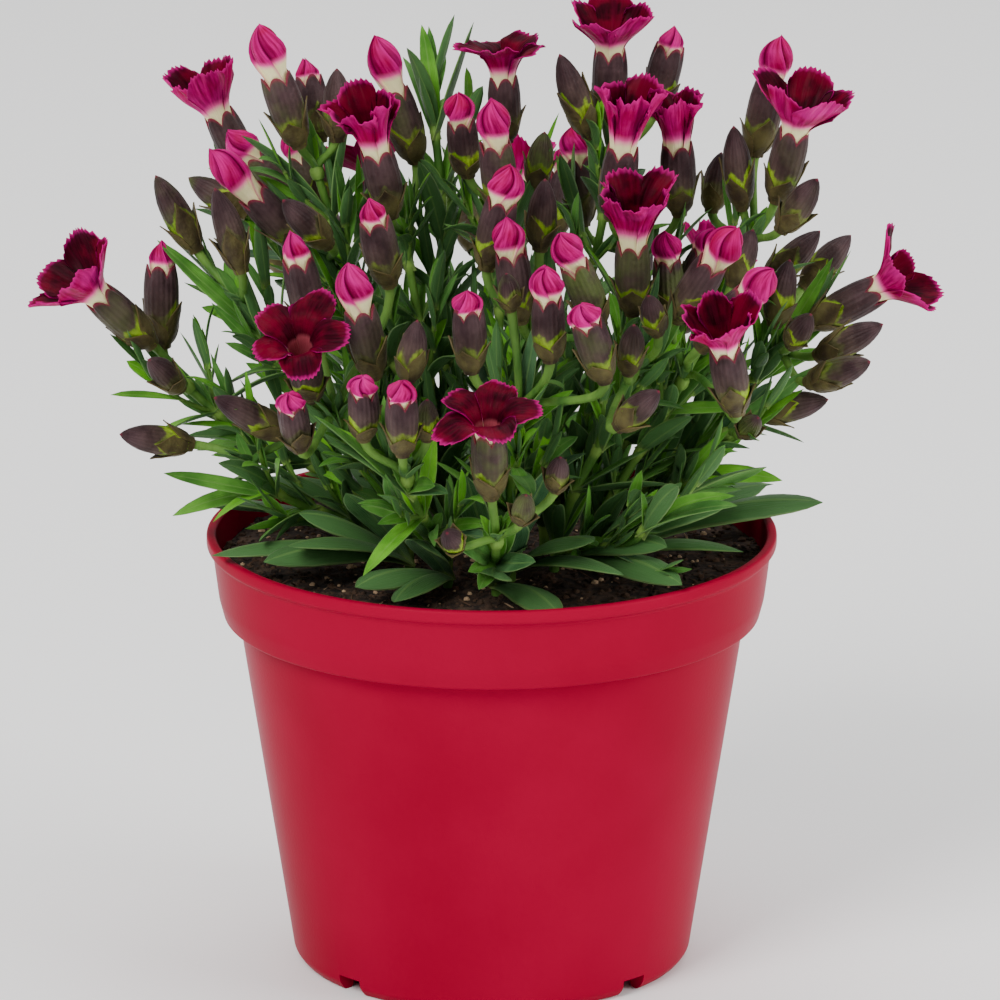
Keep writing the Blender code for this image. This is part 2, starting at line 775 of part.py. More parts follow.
def petal_rim(row, petal):
    """The toothed edge of one petal, kept within its fifth of the flower."""
    foot, mouth, axis, length = head_parts(row)
    throat, middle, edge, out, side, size = petal
    half = PETAL_HALF_WIDTH * size
    rim = []
    for lateral, share in PETAL_TEETH:
        place = middle + (edge - middle) * share
        most = (place - mouth).dot(out) * 0.68
        rim.append(place + side * max(-most, min(most, half * lateral)))
    return rim


def calyx_solid(row, stalk):
    """A stalk with its calyx: an open one has five teeth round a hollow mouth, a bud is shut."""
    kind = row[0]
    foot, mouth, axis, length = head_parts(row)
    belly = belly_radius(row)
    points = list(stalk[:-1])
    if line_length(stalk) < SHORT_STALK:
        points = points[:1]
    radii = [STALK_RADIUS] * len(points)
    places = [(0.0, 0.5), (0.42, 1.0)]
    if kind == "bud":
        places += [(0.78, 0.76), (1.0, 0.0)]
    if kind == "small":
        places = [(0.0, 0.6), (0.45, 1.0), (1.0, 0.0)]
    for share, width in places:
        points.append(foot.lerp(mouth, share))
        radii.append(belly * width)
    if kind in ("bud", "small"):
        return loft("bud", points, radii, 5)
    frames = ring_frames(points)
    corners = []
    for point, radius, frame in zip(points, radii, frames):
        for side in range(5):
            angle = math.tau * side / 5
            corners.append(point + (frame[0] * math.cos(angle) + frame[1] * math.sin(angle)) * radius)
    last = 5 * (len(points) - 1)
    first, second = frames[-1]
    for side in range(10):
        angle = math.tau * side / 10
        rise = TOOTH_RISE if side % 2 == 0 else -TOOTH_DROP
        way = first * math.cos(angle) + second * math.sin(angle)
        corners.append(mouth + axis * rise + way * (belly * 0.93))
    lip = last + 5
    for side in range(5):
        angle = math.tau * side / 5
        way = first * math.cos(angle) + second * math.sin(angle)
        depth = MOUTH_DEPTH if is_open(kind) else 0.8
        corners.append(mouth - axis * depth + way * (belly * 0.66))
    well = lip + 10
    tops = well
    peak = Vector(row[2])
    for share, width in ROLLED_SHAPES.get(kind, ()):
        tops += 5
        for side in range(5):
            angle = math.tau * side / 5 + ROLLED_TWIST * (tops - well) / 5
            way = first * math.cos(angle) + second * math.sin(angle)
            corners.append(mouth.lerp(peak, share) + way * (belly * width))
    faces = [tuple(range(5))]
    for ring in range(well, tops, 5):
        for side in range(5):
            after = (side + 1) % 5
            faces.append((ring + side, ring + after, ring + 5 + after, ring + 5 + side))
    for ring in range(len(points) - 1):
        for side in range(5):
            a = ring * 5 + side
            b = ring * 5 + (side + 1) % 5
            faces.append((a, b, b + 5, a + 5))
    for side in range(5):
        after = (side + 1) % 5
        tip = lip + 2 * side
        notch = tip + 1
        next_tip = lip + (2 * side + 2) % 10
        faces += [(last + side, last + after, notch), (last + side, notch, tip)]
        faces.append((last + after, next_tip, notch))
        faces += [(well + side, notch, well + after), (well + side, tip, notch)]
        faces.append((well + after, notch, next_tip))
    if tops == well:
        faces.append(tuple(range(well, well + 5)))
    else:
        corners.append(peak)
        faces += [(tops + side, tops + (side + 1) % 5, tops + 5) for side in range(5)]
    return plant_solid("calyx", corners, faces)


def flower_solid(name, row):
    """The petals of one open flower: claws that stand in the calyx's mouth, and five toothed limbs."""
    foot, mouth, axis, length = head_parts(row)
    belly = calyx_radius(row)
    petals = petal_lines(row)
    low = mouth - axis * (MOUTH_DEPTH - CLEAR)
    throat = mouth + axis * THROAT_RISE
    corners = []
    for petal in petals:
        corners.append(low + unit(petal[3] + petal[4] * 0.73) * (belly * 0.46))
    for petal in petals:
        corners.append(throat + unit(petal[3] + petal[4] * 0.73) * (belly * 0.56))
    for petal in petals:
        corners.append(throat + axis * 0.9 + unit(petal[3] + petal[4] * 0.73) * (belly * 0.26))
    for index, petal in enumerate(petals):
        after = petals[(index + 1) % 5]
        between = unit(petal[3] + after[3])
        notch = (petal[1] + petal[4] * 2.2 + after[1] - after[4] * 2.2) / 2
        away = unit(between - axis * 0.6) * (PETAL_THICKNESS / 2)
        corners += [notch + away, notch - away]
    hearts = []
    rims = []
    for petal in petals:
        middle = petal[1] + (petal[2] - petal[1]) * 0.2
        thick = unit(petal[4].cross(petal[2] - petal[0])) * (PETAL_THICKNESS / 2)
        if thick.dot(petal[3]) < 0.0:
            thick = -thick
        hearts.append(len(corners))
        corners += [middle + thick, middle - thick]
        rims.append(list(range(len(corners), len(corners) + len(PETAL_TEETH))))
        corners += petal_rim(row, petal)
    faces = [tuple(range(5)), tuple(range(10, 15))]
    for index in range(5):
        before = (index + 4) % 5
        faces.append((before, index, index + 5, before + 5))
        for inner in (0, 1):
            outline = [5 + 5 * inner + before, 5 + 5 * inner + index, 15 + 2 * index + inner]
            outline += rims[index]
            outline.append(15 + 2 * before + inner)
            for start, end in zip(outline, outline[1:] + outline[:1]):
                faces.append((start, end, hearts[index] + inner))
        faces.append((rims[index][0], 15 + 2 * index, 16 + 2 * index))
        faces.append((rims[index][-1], 15 + 2 * before, 16 + 2 * before))
    return plant_solid(name, corners, faces)


def bodies_of(work):
    """The separate bodies of a mesh, as sets of faces, the largest last."""
    left = set(work.faces)
    bodies = []
    while left:
        body = {left.pop()}
        front = list(body)
        while front:
            face = front.pop()
            for edge in face.edges:
                for other in edge.link_faces:
                    if other in left:
                        left.discard(other)
                        body.add(other)
                        front.append(other)
        bodies.append(body)
    return sorted(bodies, key=len)


def is_closed(work):
    """Whether every edge of a mesh has a face on each of its two sides."""
    return all(len(edge.link_faces) == 2 for edge in work.edges)


def main_body(mesh):
    """Keep a mesh's largest body: sealed hollows are filled, loose scraps go. Says if it is closed."""
    work = bmesh.new()
    work.from_mesh(mesh)
    bmesh.ops.remove_doubles(work, verts=work.verts, dist=WELD)
    bmesh.ops.triangulate(work, faces=work.faces)
    bodies = bodies_of(work)
    spare = [face for body in bodies[:-1] for face in body]
    bmesh.ops.delete(work, geom=spare, context="FACES")
    closed = is_closed(work)
    work.to_mesh(mesh)
    work.free()
    return closed


def lighten(mesh):
    """Drop the slivers that fusing leaves, unless that would open the mesh."""
    work = bmesh.new()
    work.from_mesh(mesh)
    volume = work.calc_volume()
    bmesh.ops.dissolve_limit(work, angle_limit=FLAT_ANGLE, verts=work.verts, edges=work.edges)
    bmesh.ops.triangulate(work, faces=work.faces)
    bmesh.ops.dissolve_degenerate(work, dist=SLIVER * MM, edges=work.edges)
    bmesh.ops.triangulate(work, faces=work.faces)
    kept = work.calc_volume() / volume
    if is_closed(work) and len(bodies_of(work)) == 1 and abs(kept - 1.0) < 0.03:
        work.to_mesh(mesh)
    work.free()


def combine(base, others, operation, solver):
    """The mesh of a Boolean of one object with a group of others."""
    group = bpy.data.collections.new("group")
    bpy.context.scene.collection.children.link(group)
    for other in others:
        group.objects.link(other)
    step = base.modifiers.new("step", "BOOLEAN")
    step.operation = operation
    step.operand_type = "COLLECTION"
    step.collection = group
    step.solver = solver
    bpy.context.view_layer.update()
    seen = base.evaluated_get(bpy.context.evaluated_depsgraph_get())
    mesh = bpy.data.meshes.new_from_object(seen)
    base.modifiers.clear()
    bpy.data.collections.remove(group)
    return mesh


def boolean(base, others, operation):
    """Join others to an object, or cut them out of it, and remove them. EXACT comes first."""
    for solver in ("EXACT", "MANIFOLD"):
        mesh = combine(base, others, operation, solver)
        if main_body(mesh):
            break
    base.data = mesh
    for other in others:
        bpy.data.objects.remove(other)


def smooth(mesh, sharp):
    """Shade a round piece smooth, but for edges sharper than an angle in degrees."""
    mesh.shade_smooth()
    mesh.set_sharp_from_angle(angle=math.radians(sharp))


def fuse(name, pieces, material):
    """One closed body out of pieces that reach into each other."""
    base = pieces[0]
    base.name = name
    if len(pieces) > 1:
        boolean(base, pieces[1:], "UNION")
        lighten(base.data)
    base.data.name = name
    base.data.materials.clear()
    base.data.materials.append(material)
    return base


def turned(name, profile, sides):
    """A turned solid from a profile of radius and height that starts and ends on the axis."""
    corners = []
    faces = []
    for radius, height in profile[1:-1]:
        for side in range(sides):
            angle = math.tau * side / sides
            corners.append((radius * math.cos(angle), radius * math.sin(angle), height))
    low = len(corners)
    corners.append((0.0, 0.0, profile[0][1]))
    corners.append((0.0, 0.0, profile[-1][1]))
    rings = len(profile) - 2
    for ring in range(rings - 1):
        for side in range(sides):
            a = ring * sides + side
            b = ring * sides + (side + 1) % sides
            faces.append((a, b, b + sides, a + sides))
    for side in range(sides):
        after = (side + 1) % sides
        faces.append((side, after, low))
        faces.append(((rings - 1) * sides + side, (rings - 1) * sides + after, low + 1))
    return solid(name, corners, faces)


def block(name, low, high, turn):
    """A box between two corners, in millimetres above the ground, turned about the pot's axis."""
    corners = []
    for x in (low[0], high[0]):
        for y in (low[1], high[1]):
            for z in (low[2], high[2]):
                corners.append(Matrix.Rotation(turn, 3, "Z") @ Vector((x, y, z)))
    faces = [(0, 1, 3, 2), (4, 6, 7, 5), (0, 4, 5, 1), (2, 3, 7, 6), (0, 2, 6, 4), (1, 5, 7, 3)]
    return solid(name, corners, faces)


def body_radius(height):
    """Outer radius of the pot's tapered body at a height above the ground."""
    band_foot = POT_HEIGHT - BAND_HEIGHT
    return BASE_RADIUS + (BODY_TOP_RADIUS - BASE_RADIUS) * height / band_foot


def build_pot(material):
    """The pot: a tapered body, a tall band, a thin lip, a foot ring with notches and a raised floor."""
    band_foot = POT_HEIGHT - BAND_HEIGHT
    band_radius = LIP_RADIUS - 1.2
    line_radius = band_radius - BAND_TAPER * 0.55
    foot_radius = band_radius - BAND_TAPER
    under = FLOOR_HEIGHT - WALL
    outer = [
        (0.0, 0.0), (CENTRE_FOOT, 0.0), (CENTRE_FOOT + 1.2, under), (BASE_RADIUS - 4.4, under),
        (BASE_RADIUS - 3.2, 0.0), (BASE_RADIUS - 1.2, 0.0), (BASE_RADIUS + 0.3, 1.9),
        (BODY_TOP_RADIUS, band_foot + 0.2), (foot_radius, band_foot), (line_radius, band_foot + BAND_BEVEL),
        (band_radius, POT_HEIGHT - 3.4), (LIP_RADIUS, POT_HEIGHT - 2.4), (LIP_RADIUS, POT_HEIGHT - 0.6),
        (LIP_RADIUS - 0.6, POT_HEIGHT),
    ]
    inner = [
        (LIP_RADIUS - 1.6, POT_HEIGHT), (band_radius - WALL, POT_HEIGHT - 3.6),
        (line_radius - WALL, band_foot + BAND_BEVEL - 0.6), (BODY_TOP_RADIUS - WALL, band_foot - 1.6),
        (body_radius(FLOOR_HEIGHT) - WALL, FLOOR_HEIGHT), (0.0, FLOOR_HEIGHT),
    ]
    pot = turned("pot", outer + inner, POT_SIDES)
    notches = []
    for index in range(DRAIN_COUNT):
        turn = math.tau * (index + 0.5) / DRAIN_COUNT
        half = DRAIN_WIDTH / 2
        low = (BASE_RADIUS - 5.2, -half, -1.0)
        notches.append(block("notch", low, (BASE_RADIUS + 4.0, half, DRAIN_HEIGHT), turn))
    boolean(pot, notches, "DIFFERENCE")
    pot.data.name = "pot"
    pot.data.materials.clear()
    pot.data.materials.append(material)
    smooth(pot.data, TURNED_EDGE)


def build_soil(material):
    """The peat: it fits the pot's inside, is rough on top, and has a plain hole for each stem."""
    band_foot = POT_HEIGHT - BAND_HEIGHT
    gap = WALL + CLEAR + 0.15
    level = POT_HEIGHT + SOIL_LEVEL
    band_radius = LIP_RADIUS - 1.2
    profile = [
        (0.0, SOIL_FLOOR), (body_radius(SOIL_FLOOR) - gap, SOIL_FLOOR),
        (BODY_TOP_RADIUS - gap, band_foot - 1.6),
        (band_radius - BAND_TAPER * 0.55 - gap, band_foot + BAND_BEVEL - 0.4),
        (band_radius - 0.4 - gap, level - 0.6),
    ]
    for radius in (48.0, 37.0, 25.0, 12.0):
        profile.append((radius, level + SOIL_MOUND * (1.0 - radius / 56.0)))
    profile.append((0.0, level + SOIL_MOUND))
    soil = turned("soil", profile, SOIL_SIDES)
    draw = random.Random(SEED)
    for vertex in soil.data.vertices:
        if vertex.co.z > level * MM:
            vertex.co.z += draw.uniform(-SOIL_ROUGHNESS, SOIL_ROUGHNESS) * MM
    holes = []
    for name, place, shoots in STEMS:
        low = Vector((*place, SOIL_LEVEL - HOLE_DEPTH))
        high = Vector((*place, SOIL_LEVEL + 6.0))
        holes.append(loft("hole", [low, high], [HOLE_RADIUS, HOLE_RADIUS], 6))
    boolean(soil, holes, "DIFFERENCE")
    soil.data.name = "soil"
    soil.data.materials.clear()
    soil.data.materials.append(material)
    smooth(soil.data, TURNED_EDGE)


def build_stem(stem, routes, pairs, low_leaves, material):
    """One stem with its branches and all its leaves."""
    pieces = [shoot_solid(shoot, points, pairs[shoot]) for shoot, points in routes.items()]
    pieces += [leaf_solid(leaf) for leaf in low_leaves]
    fuse("stem_" + stem[0], pieces, material)


def build_heads(shoot, material):
    """The calyces of one shoot on their stalks, with the petals that are still rolled."""
    joint, heads = SHOOTS[shoot]
    joint = Vector(joint)
    aim = shoot_aim(shoot)
    pieces = [loft("knuckle", [joint, joint + aim * 2.2], [1.3, 1.6], 5)]
    for row in heads:
        pieces.append(calyx_solid(row, stalk_points(joint, aim, row)))
    heads_piece = fuse("heads_" + shoot, pieces, material)
    smooth(heads_piece.data, CALYX_EDGE)


def build_flower(name, row, material):
    """The petals of one open flower, as one body."""
    flower = flower_solid(name, row)
    flower.data.materials.append(material)


def main():
    for obj in list(bpy.data.objects):
        bpy.data.objects.remove(obj)
    build_pot(finish("pot_plastic", 0.42, 0.012, 0.036, 0.38))
    build_soil(finish("peat", 0.035, 0.018, 0.010, 0.95))
    leaf_green = finish("leaf", 0.075, 0.16, 0.055, 0.55)
    calyx_brown = finish("calyx", 0.10, 0.055, 0.055, 0.6)
    petal_magenta = finish("petal", 0.56, 0.008, 0.16, 0.6)
    routes, pairs, low_leaves = lay_out()
    for stem in STEMS:
        build_stem(stem, routes[stem[0]], pairs, low_leaves[stem[0]], leaf_green)
    for shoot, (joint, heads) in SHOOTS.items():
        if not heads:
            continue
        build_heads(shoot, calyx_brown)
        for index, row in enumerate(heads):
            if is_open(row[0]):
                build_flower("petals_" + shoot + "_" + str(index + 1), row, petal_magenta)


main()
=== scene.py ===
"""A dianthus in flower in its nursery pot, dressed for a studio picture.

The plant's plan is in millimetres: across (right is positive), back (away from the camera) and up from
the pot's lip. Meshes are in metres and stand on the ground, as the solid model does.
"""
import json
import math
import random

import bmesh
import bpy
import numpy as np
from mathutils import Matrix, Vector, noise

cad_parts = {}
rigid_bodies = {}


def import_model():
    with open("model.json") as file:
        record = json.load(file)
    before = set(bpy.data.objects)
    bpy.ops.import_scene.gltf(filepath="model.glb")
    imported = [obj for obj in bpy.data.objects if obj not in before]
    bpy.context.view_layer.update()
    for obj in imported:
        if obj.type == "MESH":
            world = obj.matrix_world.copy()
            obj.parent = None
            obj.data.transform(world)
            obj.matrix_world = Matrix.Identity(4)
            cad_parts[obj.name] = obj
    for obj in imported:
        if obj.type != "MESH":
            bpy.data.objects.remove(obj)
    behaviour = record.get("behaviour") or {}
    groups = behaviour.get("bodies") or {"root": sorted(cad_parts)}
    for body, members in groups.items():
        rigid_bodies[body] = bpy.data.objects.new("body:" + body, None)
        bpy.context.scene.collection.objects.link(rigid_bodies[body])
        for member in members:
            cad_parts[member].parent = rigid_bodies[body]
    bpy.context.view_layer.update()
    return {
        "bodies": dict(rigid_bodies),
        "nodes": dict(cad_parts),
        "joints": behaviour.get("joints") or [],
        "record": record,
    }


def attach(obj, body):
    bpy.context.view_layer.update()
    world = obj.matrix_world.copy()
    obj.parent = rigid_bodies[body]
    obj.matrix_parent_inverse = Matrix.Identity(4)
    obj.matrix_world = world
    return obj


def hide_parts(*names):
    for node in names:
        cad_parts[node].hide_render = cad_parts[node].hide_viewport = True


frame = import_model()


# The studio: a pale floor, a large soft light above the left, a fill from the right and a bright room.
# The camera stands 1.74 m away and looks down on the pot's lip by 16 degrees.
MM = 0.001
POT_HEIGHT = 93.0
CAMERA_DISTANCE = 1742.0
CAMERA_LIFT = math.radians(16.2)
CAMERA_ASIDE = 1.74         # the lip's middle stands this far left of the picture's middle
CAMERA_RAISED = 6.19        # and this far below it
LENS = 298.1
SENSOR = 36.0
FLOOR_REACH = 30.0          # metres
LIGHTS_AIM = (0.0, 0.0, 0.1)
ROOM_STRENGTH = 0.62


def add_object(name, data):
    """A new object at the scene's origin."""
    obj = bpy.data.objects.new(name, data)
    bpy.context.scene.collection.objects.link(obj)
    return obj


floor = add_object("floor", bpy.data.meshes.new("floor"))
work = bmesh.new()
bmesh.ops.create_grid(work, x_segments=1, y_segments=1, size=FLOOR_REACH)
work.to_mesh(floor.data)
work.free()
floor_finish = bpy.data.materials.new("pale_floor")
floor_finish.use_nodes = True
floor_shader = floor_finish.node_tree.nodes["Principled BSDF"]
floor_shader.inputs["Base Color"].default_value = (0.93, 0.93, 0.93, 1.0)
floor_shader.inputs["Roughness"].default_value = 0.9
floor.data.materials.append(floor_finish)

camera = add_object("camera", bpy.data.cameras.new("camera"))
bpy.context.scene.camera = camera
camera.data.lens = LENS
camera.data.sensor_width = SENSOR
camera.data.clip_start = 0.1
camera.data.clip_end = 100.0
looking = Vector((0.0, math.cos(CAMERA_LIFT), -math.sin(CAMERA_LIFT)))
upright = Vector((0.0, math.sin(CAMERA_LIFT), math.cos(CAMERA_LIFT)))
camera.location = Vector((CAMERA_ASIDE, 0.0, POT_HEIGHT)) * MM + upright * (CAMERA_RAISED * MM)
camera.location -= looking * (CAMERA_DISTANCE * MM)
camera.rotation_euler = (math.pi / 2 - CAMERA_LIFT, 0.0, 0.0)


def soft_light(name, place, size, power, colour):
    """A square soft light that looks at the plant."""
    light = add_object(name, bpy.data.lights.new(name, "AREA"))
    light.data.size = size
    light.data.energy = power
    light.data.color = colour
    light.location = place
    way = Vector(LIGHTS_AIM) - Vector(place)
    light.rotation_euler = way.to_track_quat("-Z", "Y").to_euler()


soft_light("key_light", (-0.9, -1.3, 1.5), 0.9, 41.0, (1.0, 0.98, 0.96))
soft_light("right_fill", (1.4, -0.5, 0.7), 0.9, 17.0, (1.0, 0.99, 0.98))
soft_light("top_light", (0.1, 0.6, 1.6), 1.2, 15.0, (1.0, 1.0, 1.0))
room = bpy.data.worlds.new("room")
room.use_nodes = True
backdrop = room.node_tree.nodes["Background"]
backdrop.inputs["Color"].default_value = (1.0, 1.0, 1.0, 1.0)
backdrop.inputs["Strength"].default_value = ROOM_STRENGTH
bpy.context.scene.world = room


# The pot is one thin moulding of crimson plastic with a satin skin. Its wall tapers to a foot ring with
# notches for drainage, and under its rolled lip a tall band stiffens it. It is turned round its axis.
LIP_RADIUS = 60.0
BASE_RADIUS = 41.8
BODY_TOP_RADIUS = 53.4
BAND_HEIGHT = 17.8
BAND_TAPER = 2.4
BAND_BEVEL = 4.2
WALL = 1.4
FLOOR_HEIGHT = 5.2
CENTRE_FOOT = 10.0
DRAIN_WIDTH = 6.0
DRAIN_DEPTH = 9.2           # of a notch, across the foot ring
DRAIN_HEIGHT = 3.6
DRAIN_COUNT = 4
POT_STEPS = 192
TURNING_RADIUS = 30.0       # of the circle along which the pot's outline is swept
CORNER_RADIUS = 0.7
POT_SHARP = math.radians(38.0)
MIX_COLOURS = (6, 7)        # where a mix node takes its two colours
MIX_RESULT = 2              # and where it gives one
BAND_FOOT = POT_HEIGHT - BAND_HEIGHT
BAND_RADIUS = LIP_RADIUS - 1.2
LINE_RADIUS = BAND_RADIUS - BAND_TAPER * 0.55


def rounded(points, radius, steps=4):
    """An outline whose corners are cut to arcs of a radius, where its sides are long enough."""
    smooth = [points[0]]
    for before, corner, after in zip(points, points[1:], points[2:]):
        corner = Vector(corner)
        back = Vector(before) - corner
        ahead = Vector(after) - corner
        reach = min(radius, back.length * 0.45, ahead.length * 0.45)
        start = corner + back.normalized() * reach
        end = corner + ahead.normalized() * reach
        for index in range(steps + 1):
            t = index / steps
            smooth.append(tuple(start * (1 - t) ** 2 + corner * (2 * t * (1 - t)) + end * t ** 2))
    smooth.append(points[-1])
    return smooth


def body_radius(height):
    """Outer radius of the tapered body at a height above the ground."""
    return BASE_RADIUS + (BODY_TOP_RADIUS - BASE_RADIUS) * height / BAND_FOOT


under_floor = FLOOR_HEIGHT - WALL
pot_outline = rounded([
    (0.0, 0.0), (CENTRE_FOOT, 0.0), (CENTRE_FOOT + 1.2, under_floor), (BASE_RADIUS - 4.4, under_floor),
    (BASE_RADIUS - 3.2, 0.0), (BASE_RADIUS - 1.2, 0.0), (BASE_RADIUS + 0.3, 1.9),
    (BODY_TOP_RADIUS, BAND_FOOT + 0.2), (BAND_RADIUS - BAND_TAPER, BAND_FOOT),
    (LINE_RADIUS, BAND_FOOT + BAND_BEVEL), (BAND_RADIUS, POT_HEIGHT - 3.2),
    (LIP_RADIUS, POT_HEIGHT - 2.5), (LIP_RADIUS, POT_HEIGHT), (LIP_RADIUS - 2.0, POT_HEIGHT),
    (BAND_RADIUS - WALL, POT_HEIGHT - 3.6), (LINE_RADIUS - WALL, BAND_FOOT + BAND_BEVEL - 0.6),
    (BODY_TOP_RADIUS - WALL, BAND_FOOT - 1.6), (body_radius(FLOOR_HEIGHT) - WALL, FLOOR_HEIGHT),
    (0.0, FLOOR_HEIGHT),
], CORNER_RADIUS)


def node_tree(name, inputs):
    """An empty Geometry Nodes tree with named inputs, and its first and last node."""
    tree = bpy.data.node_groups.new(name, "GeometryNodeTree")
    tree.interface.new_socket("Geometry", in_out="INPUT", socket_type="NodeSocketGeometry")
    for label, kind, value in inputs:
        socket = tree.interface.new_socket(label, in_out="INPUT", socket_type="NodeSocket" + kind)
        if value is not None:
            socket.default_value = value
    tree.interface.new_socket("Geometry", in_out="OUTPUT", socket_type="NodeSocketGeometry")
    return tree, tree.nodes.new("NodeGroupInput"), tree.nodes.new("NodeGroupOutput")


def add_node(tree, kind, values=None, **settings):
    """A node with its settings, and with some of its inputs set to values or linked to outputs."""
    made = tree.nodes.new(kind)
    for key, value in settings.items():
        setattr(made, key, value)
    for key, value in (values or {}).items():
        if isinstance(value, bpy.types.NodeSocket):
            tree.links.new(value, made.inputs[key])
        else:
            made.inputs[key].default_value = value
    return made


def end_tree(tree, geometry, start, end):
    """A tree's last steps: what it made becomes real, takes its finish and goes out."""
    made_real = add_node(tree, "GeometryNodeRealizeInstances", {"Geometry": geometry})
    finished = add_node(tree, "GeometryNodeSetMaterial", {
        "Geometry": made_real.outputs["Geometry"], "Material": start.outputs["Finish"]})
    tree.links.new(finished.outputs["Geometry"], end.inputs["Geometry"])


def grown(obj, tree, values):
    """Run a tree on an object with its inputs set, and keep what it makes as the object's plain mesh."""
    step = obj.modifiers.new("grow", "NODES")
    step.node_group = tree
    for item in tree.interface.items_tree:
        if item.item_type == "SOCKET" and item.in_out == "INPUT" and item.name in values:
            step[item.identifier] = values[item.name]
    bpy.context.view_layer.update()
    seen = obj.evaluated_get(bpy.context.evaluated_depsgraph_get())
    mesh = bpy.data.meshes.new_from_object(seen)
    obj.modifiers.clear()
    obj.data = mesh


def line_object(name, lines, paints):
    """A mesh of open lines of points in metres, with numbers painted on their points."""
    mesh = bpy.data.meshes.new(name)
    points = [tuple(point) for line in lines for point in line]
    edges = []
    start = 0
    for line in lines:
        edges += [(start + index, start + index + 1) for index in range(len(line) - 1)]
        start += len(line)
    mesh.from_pydata(points, edges, [])
    for label, numbers in paints.items():
        if isinstance(numbers[0], tuple):
            painted_ways = mesh.attributes.new(label, "FLOAT_VECTOR", "POINT")
            painted_ways.data.foreach_set("vector", [part for way in numbers for part in way])
        else:
            mesh.attributes.new(label, "FLOAT", "POINT").data.foreach_set("value", numbers)
    return add_object(name, mesh)


def finish_of(name, roughness, gloss=0.3, sheen=0.0):
    """A new material with its node tree and its shader."""
    material = bpy.data.materials.new(name)
    material.use_nodes = True
    shader = material.node_tree.nodes["Principled BSDF"]
    shader.inputs["Roughness"].default_value = roughness
    shader.inputs["Specular IOR Level"].default_value = gloss
    shader.inputs["Sheen Weight"].default_value = sheen
    return material, material.node_tree, shader


def dress(obj, node):
    """Hang a piece on the plant's root body and hide the solid part that it stands for."""
    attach(obj, "root")
    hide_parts(node)


def painted(tree, label):
    """A number painted on the mesh, as a socket."""
    return add_node(tree, "ShaderNodeAttribute", attribute_name=label).outputs["Fac"]


def mixed(tree, share, first, second):
    """A colour between two, by a share that is a number or a socket."""
    values = {"Factor": share}
    for key, colour in zip(MIX_COLOURS, (first, second)):
        values[key] = colour if isinstance(colour, bpy.types.NodeSocket) else (*colour, 1.0)
    return add_node(tree, "ShaderNodeMix", values, data_type="RGBA").outputs[MIX_RESULT]


def coated(tree, below, share, strength, colour):
    """A colour over another, where a share says and at most as strong as given."""
    return mixed(tree, maths(tree, "MULTIPLY", share, strength), below, colour)


def ramp(tree, value, low, high):
    """A number that goes smoothly from 0 to 1 as a value goes from low to high."""
    values = {"Value": value, "From Min": low, "From Max": high}
    return add_node(tree, "ShaderNodeMapRange", values, interpolation_type="SMOOTHSTEP").outputs["Result"]


def mottle(tree, scale, detail=3.0, stretch=(1.0, 1.0, 1.0)):
    """Cloudy variation over the piece, in its own coordinates."""
    place = add_node(tree, "ShaderNodeTexCoord").outputs["Object"]
    sized = add_node(tree, "ShaderNodeMapping", {"Vector": place, "Scale": stretch})
    values = {"Vector": sized.outputs["Vector"], "Scale": scale, "Detail": detail}
    return add_node(tree, "ShaderNodeTexNoise", values).outputs["Fac"]


def maths(tree, operation, first, second=0.5):
    """One sum on numbers or sockets."""
    values = {0: first, 1: second}
    return add_node(tree, "ShaderNodeMath", values, operation=operation).outputs[0]


def roughen(tree, shader, height, distance, strength=1.0):
    """Give a shader relief from a height."""
    values = {"Height": height, "Distance": distance, "Strength": strength}
    bump = add_node(tree, "ShaderNodeBump", values)
    tree.links.new(bump.outputs["Normal"], shader.inputs["Normal"])


pot_finish, tree, shader = finish_of("crimson_plastic", 0.36, 0.02)
cloud = ramp(tree, mottle(tree, 22.0, 4.0), 0.3, 0.7)
crimson = mixed(tree, cloud, (0.262, 0.0001, 0.020), (0.300, 0.0005, 0.026))
tree.links.new(crimson, shader.inputs["Base Color"])
roughen(tree, shader, mottle(tree, 1500.0, 2.0), 0.00006, 0.5)

turning, start, end = node_tree("turn_pot", (
    ("Turning radius", "Float", TURNING_RADIUS * MM), ("Steps", "Int", POT_STEPS),
    ("Notches", "Int", DRAIN_COUNT), ("Notch size", "Vector", None), ("Notch radius", "Float", None),
    ("Finish", "Material", None),
))
outline = add_node(turning, "GeometryNodeMeshToCurve", {"Mesh": start.outputs["Geometry"]})
circle = add_node(turning, "GeometryNodeCurvePrimitiveCircle", {
    "Radius": start.outputs["Turning radius"], "Resolution": start.outputs["Steps"]})
upright_circle = add_node(turning, "GeometryNodeSetCurveNormal", {
    "Curve": circle.outputs["Curve"]}, mode="Z_UP")
swept = add_node(turning, "GeometryNodeCurveToMesh", {
    "Curve": upright_circle.outputs["Curve"], "Profile Curve": outline.outputs["Curve"]})
closed = add_node(turning, "GeometryNodeMergeByDistance", {
    "Geometry": swept.outputs["Mesh"], "Distance": 0.00001})
ring = add_node(turning, "GeometryNodeCurvePrimitiveCircle", {
    "Radius": start.outputs["Notch radius"], "Resolution": start.outputs["Notches"]})
spots = add_node(turning, "GeometryNodeTransform", {
    "Geometry": ring.outputs["Curve"], "Rotation": (0.0, 0.0, math.pi / DRAIN_COUNT)})
facing = add_node(turning, "FunctionNodeAlignRotationToVector", {
    "Vector": add_node(turning, "GeometryNodeInputPosition").outputs["Position"]}, axis="X")
block = add_node(turning, "GeometryNodeMeshCube", {"Size": start.outputs["Notch size"]})
blocks = add_node(turning, "GeometryNodeInstanceOnPoints", {
    "Points": spots.outputs["Geometry"], "Instance": block.outputs["Mesh"],
    "Rotation": facing.outputs["Rotation"]})
cutters = add_node(turning, "GeometryNodeRealizeInstances", {"Geometry": blocks.outputs["Instances"]})
